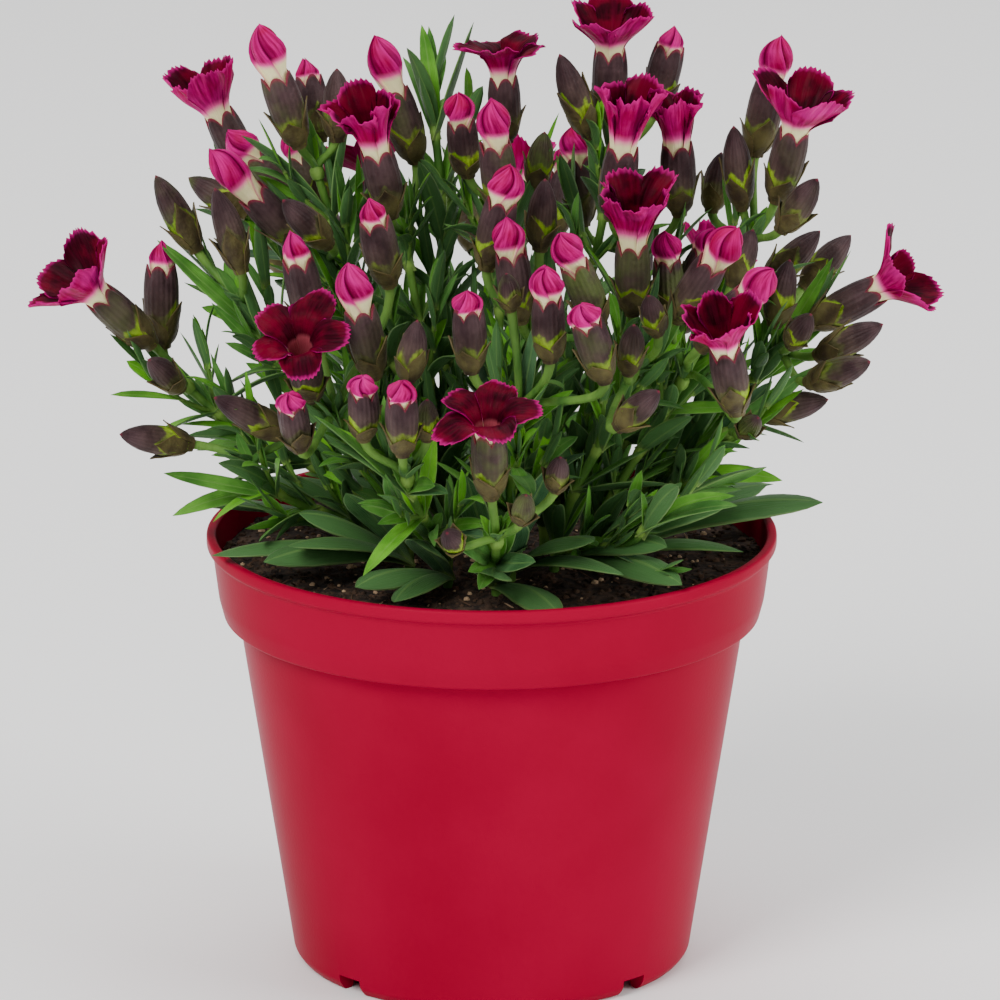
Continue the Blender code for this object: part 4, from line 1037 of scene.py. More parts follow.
class Crowd:
    """What every node already fills, as beads, so that the next piece can be kept clear of it."""

    def __init__(self):
        self.beads = {}

    def add(self, name, found):
        self.beads.setdefault(name, []).extend(found)

    def own(self, name):
        return np.array(self.beads[name])

    def others(self, name):
        return np.array([bead for owner, found in self.beads.items() if owner != name for bead in found])


def crowd_of_heads():
    """The space of all heads and their stalks, by shoot."""
    crowd = Crowd()
    for shoot, (joint, heads) in SHOOTS.items():
        if not heads:
            continue
        aim = shoot_aim(shoot)
        joint = Vector(joint)
        for row in heads:
            crowd.add("heads_" + shoot, head_beads(row))
            crowd.add("heads_" + shoot, beads(stalk_points(joint, aim, row), STALK_RADIUS + 0.2))
        crowd.add("heads_" + shoot, beads([joint, joint + aim * TIP_RISE], TIP_BEAD))
    return crowd


def place_basal(stem, tip, crowd):
    """The flattest low leaf from a stem to a tip that lies clear of the rest; None if none does."""
    name, place, shoots = stem
    taken = crowd.others(name)
    for attempt in range(BASAL_TRIES):
        root = Vector((*place, SOIL_LEVEL + BASAL_START + attempt * BASAL_START_STEP))
        leaf = basal_blade(root, tip, BASAL_RISE + BASAL_RISE_STEP * attempt)
        found = blade_beads(leaf)
        if clear_of_pot(found) and clear_of(found, taken) > LEAF_GAP:
            crowd.add(name, found)
            return leaf
    return None


def plan_basal(crowd, blades):
    """The broad low leaves, each on the nearest stem from which it can lie clear."""
    for tip in BASAL_TIPS:
        tip = Vector(tip)
        way = unit(Vector((tip.x, tip.y, 0.0)))
        nearest = sorted(STEMS, key=lambda stem: (Vector((*stem[1], 0.0)) - way * BASAL_REACH).length)
        for stem in nearest[:4]:
            leaf = place_basal(stem, tip, crowd)
            if leaf:
                blades[stem[0]].append(leaf)
                break


def lay_out():
    """Routes, leaf pairs and low leaves of every stem, each leaf clear of every other node."""
    crowd = crowd_of_heads()
    routes = {stem[0]: stem_routes(stem) for stem in STEMS}
    for stem in STEMS:
        for points in routes[stem[0]].values():
            crowd.add(stem[0], beads(points, STEM_RADIUS + 0.1))
    low_leaves = {stem[0]: [] for stem in STEMS}
    plan_basal(crowd, low_leaves)
    pairs = {}
    for stem in STEMS:
        for shoot, points in routes[stem[0]].items():
            pairs[shoot] = shoot_pairs(stem, shoot, points, crowd)
    return routes, pairs, low_leaves


STEM_FINE = 1.1             # between two rings of a stem
STEM_RING_SIDES = 10
JOINT_SWELL = 0.30
JOINT_REACH = 1.3           # how far from a joint its stem is still swollen
STEM_TAPER = 0.2
routes, pairs, low_leaves = lay_out()


def smooth_line(points, step):
    """The same line with evenly spaced points and its corners eased."""
    count = max(4, round(line_length(points) / step))
    whole = line_length(points)
    line = [point_along(points, whole * index / count)[0] for index in range(count + 1)]
    for turn in range(6):
        eased = [(a + b * 2 + c) / 4 for a, b, c in zip(line, line[1:], line[2:])]
        line = [line[0]] + eased + [line[-1]]
    return line


def above_ground(line):
    """A line of the plan in metres above the ground."""
    return [(point + Vector((0.0, 0.0, POT_HEIGHT))) * MM for point in line]


stem_finish, tree, shader = finish_of("stem_skin", 0.46, 0.10)
swelling = painted(tree, "swelling")
cloud = ramp(tree, mottle(tree, 260.0, 4.0, (1.0, 1.0, 0.35)), 0.3, 0.7)
green = mixed(tree, cloud, (0.036, 0.110, 0.018), (0.100, 0.215, 0.036))
pale = mixed(tree, swelling, green, (0.20, 0.34, 0.065))
tree.links.new(pale, shader.inputs["Base Color"])
roughen(tree, shader, mottle(tree, 1200.0, 3.0, (1.0, 1.0, 0.2)), 0.0002)

tubes, start, end = node_tree("draw_stems", (
    ("Sides", "Int", STEM_RING_SIDES), ("Finish", "Material", None)))
line = add_node(tubes, "GeometryNodeMeshToCurve", {"Mesh": start.outputs["Geometry"]})
thickness = add_node(tubes, "GeometryNodeInputNamedAttribute", {"Name": "thickness"}, data_type="FLOAT")
section = add_node(tubes, "GeometryNodeCurvePrimitiveCircle", {
    "Radius": 1.0, "Resolution": start.outputs["Sides"]})
swept = add_node(tubes, "GeometryNodeCurveToMesh", {
    "Curve": line.outputs["Curve"], "Profile Curve": section.outputs["Curve"],
    "Scale": thickness.outputs["Attribute"], "Fill Caps": True})
soft = add_node(tubes, "GeometryNodeSetShadeSmooth", {"Geometry": swept.outputs["Mesh"]})
end_tree(tubes, soft.outputs["Geometry"], start, end)

for stem in STEMS:
    lines = []
    swellings = []
    thicknesses = []
    for shoot, points in routes[stem[0]].items():
        line = smooth_line(points, STEM_FINE)
        lines.append(above_ground(line))
        whole = line_length(points)
        for index in range(len(line)):
            along = whole * index / (len(line) - 1)
            nearest = min((abs(along - joint) for joint, leaves in pairs[shoot]), default=99.0)
            swelling = math.exp(-(nearest / JOINT_REACH) ** 2)
            slimness = 0.96 - STEM_TAPER * along / whole
            swellings.append(swelling)
            thicknesses.append(MM * STEM_RADIUS * slimness * (1.0 + JOINT_SWELL * swelling))
    stem_piece = line_object("stems_" + stem[0], lines, {"thickness": thicknesses, "swelling": swellings})
    grown(stem_piece, tubes, {"Finish": stem_finish})
    dress(stem_piece, "stem_" + stem[0])


# The leaves are narrow, stiff and keeled, blue-green with a waxy bloom, a pale midline and pale edges.
# They stand in opposite pairs whose feet clasp the stem; in their axils are tufts of small bright ones.
# Longer and broader leaves low down come over the pot's lip.
LEAF_STATIONS = 14
SMALL_STATIONS = 7
LEAF_FULLNESS = 1.15        # blades are this much broader than the solid ones
TUFT_LEAVES = 2.0           # most small leaves in an axil near the ground
EXTRA_LEAVES = 0.8          # chance of one more leaf beside each leaf of a pair
TWIG_CHANCE = 0.80          # of a young side shoot in an axil
TWIG_RADIUS = 0.55
TWIG_SIDES = 6
PLANT_REACH = 84.0
PLANT_TOP = 106.0
LIP_ROOM = 2.2              # least height of an added leaf above the lip or the soil
LEAF_SECTION = 12
YOUNG_SECTION = 8
TWIG_LENGTH = (8.0, 21.0)
TWIG_LIFT = (20.0, 44.0)
TWIG_PAIRS = (0.45, 0.75, 1.0)
LEAF_KINDS = {              # degrees of lift, length, half width, droop and sweep, to draw between two
    "short": ((20.0, 34.0), (9.0, 14.0), 1.7, (0.0, 0.2), 0.0),
    "extra": ((12.0, 38.0), (13.5, 25.65), (1.1, 1.7), (-0.1, 0.5), (-0.15, 0.15)),
    "tall": ((8.0, 26.0), (21.6, 33.75), (1.6, 2.3), (-0.05, 0.2), (-0.1, 0.1)),
    "tuft": ((8.0, 44.0), (6.0, 15.5), (0.8, 1.5), (-0.1, 0.35), (-0.1, 0.1)),
    "young": ((12.0, 40.0), (8.0, 17.0), (0.8, 1.4), (-0.1, 0.35), (-0.1, 0.1)),
    "bract": ((14.0, 34.0), (6.0, 12.0), (0.9, 1.4), (-0.1, 0.15), 0.0),
}
LEAF_GROOVE = 0.30          # how deep the blade is folded along its middle, by half its width
LEAF_BODY = 0.17
LEAF_OUTLINE = ((0.0, 0.66), (0.1, 0.64), (0.22, 0.86), (0.36, 1.0), (0.55, 0.98), (0.72, 0.84),
                (0.86, 0.56), (0.95, 0.27), (1.0, 0.02))
LOW_OUTLINE = ((0.0, 0.5), (0.15, 0.66), (0.32, 0.9), (0.52, 1.12), (0.7, 1.08), (0.84, 0.8), (0.94, 0.42),
               (1.0, 0.03))


def share_at(outline, t):
    """The number that an outline of pairs gives at t."""
    places, numbers = zip(*outline)
    return float(np.interp(t, places, numbers))


def within(value):
    """A number held between 0 and 1."""
    return min(1.0, max(0.0, value))


def streaked(tree, across, along, apart, scale, detail):
    """Fine streaks along a blade or a petal, other ones on each."""
    lanes = add_node(tree, "ShaderNodeCombineXYZ", {
        "X": maths(tree, "MULTIPLY", painted(tree, "across"), across),
        "Y": maths(tree, "MULTIPLY", painted(tree, "along"), along),
        "Z": maths(tree, "MULTIPLY", painted(tree, "tint"), apart)})
    values = {"Vector": lanes.outputs["Vector"], "Scale": scale, "Detail": detail}
    return add_node(tree, "ShaderNodeTexNoise", values).outputs["Fac"]


leaf_finish, tree, shader = finish_of("leaf_skin", 0.40, 0.11, 0.03)
shader.inputs["Sheen Roughness"].default_value = 0.4
off_middle = maths(tree, "ABSOLUTE", painted(tree, "across"))
cloud = ramp(tree, mottle(tree, 130.0, 5.0), 0.3, 0.72)
old = mixed(tree, cloud, (0.022, 0.070, 0.026), (0.066, 0.150, 0.064))
young = mixed(tree, cloud, (0.062, 0.240, 0.005), (0.165, 0.500, 0.012))
green = mixed(tree, painted(tree, "tint"), old, young)
beneath = mixed(tree, painted(tree, "upper"), (0.060, 0.150, 0.045), green)
lined = coated(tree, beneath, ramp(tree, off_middle, 0.15, 0.02), 0.32, (0.18, 0.32, 0.085))
edged = coated(tree, lined, ramp(tree, off_middle, 0.88, 0.99), 0.42, (0.26, 0.38, 0.13))
footed = coated(tree, edged, ramp(tree, painted(tree, "along"), 0.16, 0.0), 0.7, (0.22, 0.32, 0.08))
tree.links.new(footed, shader.inputs["Base Color"])
roughen(tree, shader, streaked(tree, 9.0, 2.5, 31.0, 1.6, 2.0), 0.0004, 0.6)

sweep, start, end = node_tree("sweep_leaves", (
    ("Corners", "Int", LEAF_SECTION), ("Groove", "Float", LEAF_GROOVE), ("Body", "Float", LEAF_BODY),
    ("Finish", "Material", None),
))
line = add_node(sweep, "GeometryNodeMeshToCurve", {"Mesh": start.outputs["Geometry"]})
side = add_node(sweep, "GeometryNodeInputNamedAttribute", {"Name": "side"}, data_type="FLOAT_VECTOR")
flat = add_node(sweep, "GeometryNodeSetCurveNormal", {
    "Curve": line.outputs["Curve"], "Normal": side.outputs["Attribute"]}, mode="FREE")
width = add_node(sweep, "GeometryNodeInputNamedAttribute", {"Name": "width"}, data_type="FLOAT")
round_section = add_node(sweep, "GeometryNodeCurvePrimitiveCircle", {
    "Radius": 1.0, "Resolution": start.outputs["Corners"]})
place = add_node(sweep, "ShaderNodeSeparateXYZ", {
    "Vector": add_node(sweep, "GeometryNodeInputPosition").outputs["Position"]})
marked = add_node(sweep, "GeometryNodeStoreNamedAttribute", {
    "Geometry": round_section.outputs["Curve"], "Name": "across", "Value": place.outputs["X"]},
    data_type="FLOAT", domain="POINT")
face_share = maths(sweep, "ADD", maths(sweep, "MULTIPLY", place.outputs["Y"], 4.0), 0.5)
faced = add_node(sweep, "GeometryNodeStoreNamedAttribute", {
    "Geometry": marked.outputs["Geometry"], "Name": "upper",
    "Value": add_node(sweep, "ShaderNodeClamp", {"Value": face_share}).outputs["Result"]},
    data_type="FLOAT", domain="POINT")
fold = maths(sweep, "MULTIPLY", maths(sweep, "ABSOLUTE", place.outputs["X"]), start.outputs["Groove"])
body = maths(sweep, "MULTIPLY", place.outputs["Y"], start.outputs["Body"])
folded = add_node(sweep, "ShaderNodeCombineXYZ", {
    "X": place.outputs["X"], "Y": maths(sweep, "ADD", fold, body), "Z": 0.0})
blade_section = add_node(sweep, "GeometryNodeSetPosition", {
    "Geometry": faced.outputs["Geometry"], "Position": folded.outputs["Vector"]})
swept = add_node(sweep, "GeometryNodeCurveToMesh", {
    "Curve": flat.outputs["Curve"], "Profile Curve": blade_section.outputs["Geometry"],
    "Scale": width.outputs["Attribute"], "Fill Caps": True})
soft = add_node(sweep, "GeometryNodeSetShadeSmooth", {"Geometry": swept.outputs["Mesh"]})
end_tree(sweep, soft.outputs["Geometry"], start, end)


class Leaves:
    """The middle lines of a piece's leaves, with what is painted on them."""

    def __init__(self):
        self.lines = []
        self.paints = {"width": [], "side": [], "along": [], "tint": []}

    def add(self, leaf, outline, tint, twist, stations=LEAF_STATIONS):
        """One leaf: its blade turns a little round its middle line towards its tip."""
        root, aim, bend, side, length, half_width = leaf
        line = []
        for index in range(stations):
            t = (index / (stations - 1)) ** 0.92
            line.append(blade_point(leaf, t))
            tangent = unit(aim + bend * (2.0 * t))
            turned_side = Matrix.Rotation(twist * t, 3, tangent) @ side
            self.paints["side"].append(tuple(unit(turned_side)))
            self.paints["width"].append(MM * half_width * LEAF_FULLNESS * share_at(outline, t))
            self.paints["along"].append(t)
            self.paints["tint"].append(tint)
        self.lines.append(above_ground(line))

    def piece(self, name, node, corners=LEAF_SECTION):
        """The finished leaves."""
        obj = line_object(name, self.lines, self.paints)
        grown(obj, sweep, {"Finish": leaf_finish, "Corners": corners})
        dress(obj, node)


def drawn_leaf(kind, place, axis, out, draw, size=1.0, upright=1.0, shorter=0.0):
    """A leaf of a kind with its measures drawn, its greatest length cut by what is asked."""
    lifts, lengths, half_widths, droops, sweeps = LEAF_KINDS[kind]
    lift = math.radians(draw.uniform(*lifts) * upright)
    length = draw.uniform(lengths[0], lengths[1] - shorter) * size
    half_width, droop, sweep = (
        draw.uniform(*span) if isinstance(span, tuple) else span for span in (half_widths, droops, sweeps))
    return blade(place, axis, out, lift, length, half_width, droop, sweep)


def is_free(leaf):
    """Whether a leaf stays within the plant's outline and clear of the soil and the pot's lip."""
    tip = blade_point(leaf, 1.0)
    if math.hypot(tip.x, tip.y) > PLANT_REACH or tip.z > PLANT_TOP:
        return False
    for step in range(1, 6):
        spot = blade_point(leaf, step / 5)
        lowest = LIP_ROOM if math.hypot(spot.x, spot.y) > BODY_TOP_RADIUS else SOIL_LEVEL + LIP_ROOM
        if spot.z < lowest:
            return False
    return True


def twig(place, axis, out, draw):
    """The middle line of a young side shoot, which turns up as it grows."""
    length = draw.uniform(*TWIG_LENGTH)
    lift = math.radians(draw.uniform(*TWIG_LIFT))
    aim = unit(axis * math.cos(lift) + out * math.sin(lift))
    tip = place + aim * (length * 0.55) + unit(aim + Vector((0.0, 0.0, 0.9))) * (length * 0.45)
    return bezier(place, place + aim * (length * 0.3), place + aim * (length * 0.6), tip, 8)


def add_young(leaves, line, draw):
    """Three pairs of small leaves along a side shoot, the last one at its tip."""
    for share in TWIG_PAIRS:
        spot, way, index = point_along(line, line_length(line) * share)
        turn = draw.uniform(0.0, math.tau)
        for half in (0.0, math.pi):
            out = across(way, turn + half)
            small = drawn_leaf("young", spot - way * 0.3, way, out, draw, upright=1.2 - 0.8 * share)
            if is_free(small):
                leaves.add(small, LEAF_OUTLINE, draw.uniform(0.3, 1.0), draw.uniform(-0.5, 0.5),
                           SMALL_STATIONS)


for stem in STEMS:
    draw = random.Random(SEED * 3 + len(stem[0]))
    leaves = Leaves()
    young = Leaves()
    twigs = []
    for shoot, points in routes[stem[0]].items():
        whole = line_length(points)
        frames = ring_frames(points)
        for number, (distance, here) in enumerate(pairs[shoot]):
            place, axis, index = point_along(points, distance)
            share = distance / whole
            for side in (number % 2, number % 2 + 2):
                out = leaf_way(shoot, side, frames[index], axis)
                tint = within(draw.gauss(0.16 + 0.5 * share ** 3, 0.24))
                if side in here:
                    leaves.add(here[side], LEAF_OUTLINE, tint, draw.uniform(-0.5, 0.5))
                else:
                    leaves.add(drawn_leaf("short", place, axis, out, draw), LEAF_OUTLINE, tint, 0.0)
                if draw.random() < EXTRA_LEAVES:
                    aside = unit(Matrix.Rotation(draw.uniform(-1.3, 1.3), 3, axis) @ out)
                    extra = drawn_leaf("extra", place + axis * 0.6, axis, aside, draw, 1.05 - 0.4 * share)
                    if is_free(extra):
                        leaves.add(extra, LEAF_OUTLINE, within(tint + draw.uniform(0.0, 0.4)),
                                   draw.uniform(-0.6, 0.6), SMALL_STATIONS + 2)
                if number == len(pairs[shoot]) - 1:
                    aside = across(axis, draw.uniform(0.0, math.tau))
                    tall = drawn_leaf("tall", place - axis * 1.5, axis, aside, draw)
                    if is_free(tall):
                        leaves.add(tall, LEAF_OUTLINE, draw.uniform(0.0, 0.6), draw.uniform(-0.8, 0.8))
                for tuft_leaf in range(round(draw.uniform(0.0, TUFT_LEAVES * (1.2 - share)))):
                    aside = unit(Matrix.Rotation(draw.uniform(-1.1, 1.1), 3, axis) @ out)
                    small = drawn_leaf("tuft", place + axis * draw.uniform(0.0, 1.5), axis, aside, draw,
                                       shorter=4.5 * share)
                    if is_free(small):
                        young.add(small, LEAF_OUTLINE, draw.uniform(0.35, 1.0), draw.uniform(-0.5, 0.5),
                                  SMALL_STATIONS)
                if draw.random() < TWIG_CHANCE:
                    twigs.append(twig(place, axis, out, draw))
                    add_young(young, twigs[-1], draw)
    for leaf in low_leaves[stem[0]]:
        leaves.add(leaf, LOW_OUTLINE, within(draw.gauss(0.1, 0.12)), draw.uniform(-0.6, 0.6))
    leaves.piece("leaves_" + stem[0], "stem_" + stem[0])
    if young.lines:
        young.piece("young_leaves_" + stem[0], "stem_" + stem[0], YOUNG_SECTION)
    if twigs:
        tapers = [1.15 - 0.05 * index for line in twigs for index in range(len(line))]
        twig_piece = line_object("side_shoots_" + stem[0], [above_ground(line) for line in twigs], {
            "thickness": [MM * TWIG_RADIUS * taper for taper in tapers], "swelling": [0.2] * len(tapers)})
        grown(twig_piece, tubes, {"Sides": TWIG_SIDES, "Finish": stem_finish})
        dress(twig_piece, "stem_" + stem[0])


# Each head is a ribbed brown calyx on a thin stalk: a tough tube with five pointed teeth, with four
# scales pressed round its foot and a lime-green zone just above them. Buds are shut to a point.
CALYX_COLUMNS = 40
CALYX_STATIONS = (0.0, 0.03, 0.07, 0.14, 0.24, 0.36, 0.48, 0.6, 0.7, 0.79, 0.87, 0.94, 1.0)
CALYX_WALL = 0.28           # at a calyx's mouth
MOUTH_SHARE = 0.84          # of the belly's radius
SHALLOW_MOUTH = 1.6         # depth of a mouth that rolled petals fill
CALYX_BOW = 0.25
TEETH_START = 0.55          # share of the height above which an open calyx parts into teeth
EDGE_STARTS = (0.86, 0.9)   # and where the reddish edge starts on an open and on a shut one
SEAM_DEPTH = 0.13           # between the teeth of a shut one, as a share of the radius
LOBE_DEPTH = 0.022          # the five lobes and the ribs, as shares of the radius
RIB_DEPTH = 0.011
SHORT_STALK = 8.0
STALK_RINGS = 10
STALK_SWELL = 0.35          # where a stalk meets its calyx
TIP_JOINT = ((-0.3, 1.25, 0.3), (0.8, 1.6, 0.5), (1.8, 1.5, 0.5), (2.6, 1.0, 0.3))
OPEN_OUTLINE = ((0.0, 0.40), (0.05, 0.60), (0.14, 0.78), (0.3, 0.92), (0.5, 1.0), (0.76, 1.0), (0.9, 0.94),
                (1.0, MOUTH_SHARE))
BUD_OUTLINE = ((0.0, 0.42), (0.06, 0.68), (0.16, 0.87), (0.36, 1.0), (0.55, 0.97), (0.72, 0.82),
               (0.86, 0.54), (0.95, 0.26), (1.0, 0.02))
SCALE_OUTLINE = ((0.0, 0.9), (0.35, 1.0), (0.56, 0.84), (0.72, 0.52), (0.84, 0.22), (0.93, 0.07),
                 (1.0, 0.015))
SCALE_ROWS = 10
SCALE_COLUMNS = 9
SCALE_THICK = 0.3
SCALE_REACH = (0.58, 0.44)  # how far an inner and an outer scale go up the calyx
SCALE_SPREAD = (0.94, 1.02)
SCALE_LIFTS = (0.13, 0.33)  # how far they stand off it
SCALE_FLARE = 1.15          # and how much further their tips do
SCALE_FOOT = 0.05           # share of the calyx's height that they start below it
LIME_ZONE = 1.5             # how far the lime green shows above a scale's edge
NO_LIME = -9.0


class Skin:
    """The corners, faces and painted numbers of one piece, gathered from tubes shut at both ends."""

    def __init__(self):
        self.corners = []
        self.faces = []
        self.paints = {}

    def paint(self, **numbers):
        """What is painted on the next corner."""
        for label, number in numbers.items():
            self.paints.setdefault(label, []).append(number)

    def tube(self, rings, flat=False):
        """Rings of equal counts, painted before; flat ones of a thin sheet are shut strip by strip."""
        count = len(rings[0])
        first = len(self.corners)
        for ring in rings:
            self.corners += ring
        for row in range(len(rings) - 1):
            for side in range(count):
                a = first + row * count + side
                b = first + row * count + (side + 1) % count
                self.faces.append((a, b, b + count, a + count))
        last = first + (len(rings) - 1) * count
        if flat:
            for side in range(count // 2 - 1):
                strip = (side + 1, side, count - 1 - side, count - 2 - side)
                self.faces.append(tuple(first + corner for corner in strip))
                self.faces.append(tuple(last + corner for corner in reversed(strip)))
        else:
            self.faces.append(tuple(reversed(range(first, first + count))))
            self.faces.append(tuple(range(last, last + count)))

    def piece(self, name, finish, node, slot, sharp=70.0):
        """The finished piece, with its faces turned outwards."""
        mesh = bpy.data.meshes.new(name)
        mesh.from_pydata([tuple(corner) for corner in above_ground(self.corners)], [], self.faces)
        for label, numbers in self.paints.items():
            mesh.attributes.new(label, "FLOAT", "POINT").data.foreach_set("value", numbers)
        work = bmesh.new()
        work.from_mesh(mesh)
        bmesh.ops.recalc_face_normals(work, faces=work.faces)
        work.to_mesh(mesh)
        work.free()
        mesh.shade_smooth()
        mesh.set_sharp_from_angle(angle=math.radians(sharp))
        mesh.materials.append(finish)
        dress(add_object(name, mesh), node)


def past(share, start):
    """How far a share is past a start: 0 up to it, and 1 at the end."""
    return max(0.0, (share - start) / (1.0 - start))


def tooth(angle):
    """How far a calyx's edge rises above its mouth or drops below it, round its five teeth."""
    wave = abs((angle * 5 / math.tau + 0.5) % 1.0 - 0.5) * 2.0
    return TOOTH_RISE - (TOOTH_RISE + TOOTH_DROP) * wave ** 2.2


class Scales:
    """The four scales at one calyx's foot: where each faces and how high its edge is."""

    def __init__(self, row, draw):
        self.length = head_parts(row)[3]
        turn = draw.uniform(0.0, math.tau)
        self.four = []
        for number in range(4):
            outer = number % 2
            reach = SCALE_REACH[outer] * draw.uniform(0.9, 1.12)
            self.four.append((turn + math.tau * number / 4, outer, reach, SCALE_SPREAD[outer]))

    def edge_height(self, angle, only_outer):
        """Height above the calyx's foot to which scales cover it in a direction."""
        highest = 0.0
        for facing, outer, reach, spread in self.four:
            if only_outer and not outer:
                continue
            off = abs((angle - facing + math.pi) % math.tau - math.pi) / spread
            if off < 1.0:
                widths = [share for s, share in SCALE_OUTLINE[:0:-1]]
                places = [s for s, share in SCALE_OUTLINE[:0:-1]]
                highest = max(highest, reach * self.length * float(np.interp(off, widths, places)))
        return highest


def head_frame(row, stalk):
    """The directions across a head's mouth, where its teeth and its rolled petals start to count."""
    points = list(stalk[:-1])
    if line_length(stalk) < SHORT_STALK:
        points = points[:1]
    foot, mouth, axis, length = head_parts(row)
    points += [foot, foot.lerp(mouth, 0.42)]
    return ring_frames(points)[-1]


def add_calyx(skin, row, frame, scales, draw):
    """A calyx: ribbed all round, and hollow at its mouth unless it is a bud."""
    kind = row[0]
    foot, mouth, axis, length = head_parts(row)
    belly = belly_radius(row)
    shut = kind in ("bud", "small")
    outline = BUD_OUTLINE if shut else OPEN_OUTLINE
    tint = draw.random()
    rings = []
    angles = [math.tau * column / CALYX_COLUMNS for column in range(CALYX_COLUMNS)]
    covers = [scales.edge_height(angle, False) for angle in angles]
    bow = across(axis, draw.uniform(0.0, math.tau)) * draw.uniform(0.0, CALYX_BOW)
    for t in CALYX_STATIONS:
        ring = []
        for column, angle in enumerate(angles):
            rib = column % 2
            radius = belly * share_at(outline, t)
            radius *= 1.0 + LOBE_DEPTH * math.cos(5.0 * angle) * t + (RIB_DEPTH if rib else -RIB_DEPTH)
            rise = 0.0 if shut else tooth(angle) * past(t, TEETH_START) ** 1.5
            middle = foot.lerp(mouth, t) + axis * rise + bow * math.sin(math.pi * t)
            if shut:
                radius *= 1.0 - SEAM_DEPTH * t * t * (1.0 - abs(math.sin(2.5 * angle))) ** 3
            ring.append(middle + spoke(frame, angle) * radius)
            edge = past(t, EDGE_STARTS[shut])
            zone = LIME_ZONE * (0.35 + 3.6 * (max(covers) - covers[column]) / length)
            lime = 1.0 - (t * length - covers[column]) / zone
            skin.paint(along=t, rib=float(rib), edge=edge, lime=lime, tint=tint, scale=0.0)
        rings.append(ring)
    if not shut:
        depth = MOUTH_DEPTH if is_open(kind) else SHALLOW_MOUTH
        for drop, inset in ((0.10, CALYX_WALL), (depth * 0.5, 0.36), (depth, 0.5)):
            ring = []
            for angle in angles:
                rise = tooth(angle) * max(0.0, 1.0 - drop / depth)
                inside = spoke(frame, angle) * (belly * MOUTH_SHARE - inset)
                ring.append(mouth + axis * (rise - drop) + inside)
                skin.paint(along=1.0, rib=0.5, edge=1.0, lime=NO_LIME, tint=tint, scale=0.0)
            rings.append(ring)
    skin.tube(rings)


def add_scales(skin, row, frame, scales, draw):
    """Four pointed scales in two opposite pairs, pressed against the calyx's foot."""
    kind = row[0]
    foot, mouth, axis, length = head_parts(row)
    belly = belly_radius(row)
    outline = BUD_OUTLINE if kind in ("bud", "small") else OPEN_OUTLINE
    tint = draw.random()
    laterals = [2.0 * column / (SCALE_COLUMNS - 1) - 1.0 for column in range(SCALE_COLUMNS)]
    round_trip = [(lateral, 0.0) for lateral in laterals]
    round_trip += [(lateral, SCALE_THICK) for lateral in reversed(laterals)]
    for facing, outer, reach, spread in scales.four:
        rings = []
        for station in range(SCALE_ROWS):
            s = station / (SCALE_ROWS - 1)
            t = -SCALE_FOOT + (reach + SCALE_FOOT) * s
            half = spread * share_at(SCALE_OUTLINE, s)
            lift = SCALE_LIFTS[outer] + SCALE_FLARE * s ** 5
            radius = belly * share_at(outline, max(0.0, t)) + lift
            middle = foot + axis * (length * t)
            ring = []
            for lateral, inset in round_trip:
                angle = facing + half * lateral
                ring.append(middle + spoke(frame, angle) * (radius - inset))
                cover = 0.0 if outer else scales.edge_height(angle, True)
                lime = 1.0 - (t * length - cover) / LIME_ZONE if cover > 0.0 else NO_LIME
                skin.paint(along=s, rib=0.5, edge=abs(lateral), lime=lime, tint=tint, scale=1.0)
            rings.append(ring)
        skin.tube(rings, True)


calyx_finish, tree, shader = finish_of("calyx_skin", 0.46, 0.09, 0.02)
rib = painted(tree, "rib")
is_scale = painted(tree, "scale")
cloud = ramp(tree, mottle(tree, 260.0, 5.0, (1.0, 1.0, 0.6)), 0.3, 0.7)
high = ramp(tree, painted(tree, "along"), 0.25, 0.9)
dull = mixed(tree, high, (0.092, 0.066, 0.046), (0.072, 0.040, 0.044))
brown = mixed(tree, cloud, mixed(tree, high, (0.036, 0.022, 0.018), (0.026, 0.012, 0.015)), dull)
spots = ramp(tree, mottle(tree, 140.0), 0.40, 0.66)
greener = maths(tree, "MULTIPLY", ramp(tree, painted(tree, "tint"), 0.62, 1.0), spots)
olive = coated(tree, brown, greener, 0.8, (0.085, 0.120, 0.030))
ribbed = coated(tree, olive, rib, 0.22, (0.022, 0.012, 0.014))
scaly = mixed(tree, is_scale, ribbed, mixed(tree, cloud, (0.034, 0.022, 0.014), (0.100, 0.086, 0.030)))
wobble = maths(tree, "MULTIPLY", maths(tree, "SUBTRACT", mottle(tree, 500.0, 3.0), 0.5), 2.2)
lime = ramp(tree, maths(tree, "ADD", painted(tree, "lime"), wobble), 0.05, 0.75)
bright = ramp(tree, mottle(tree, 90.0, 2.0), 0.40, 0.62)
strong = maths(tree, "ADD", maths(tree, "MULTIPLY", bright, 0.72), 0.08)
lime_green = mixed(tree, cloud, (0.130, 0.270, 0.006), (0.340, 0.540, 0.016))
limed = coated(tree, scaly, lime, strong, lime_green)
edge_red = mixed(tree, is_scale, (0.24, 0.020, 0.050), (0.10, 0.075, 0.030))
edged = coated(tree, limed, ramp(tree, painted(tree, "edge"), 0.6, 1.0), 0.7, edge_red)
tree.links.new(edged, shader.inputs["Base Color"])
fine = maths(tree, "ADD", maths(tree, "MULTIPLY", rib, -0.5), mottle(tree, 1100.0, 4.0))
roughen(tree, shader, fine, 0.00030, 0.8)

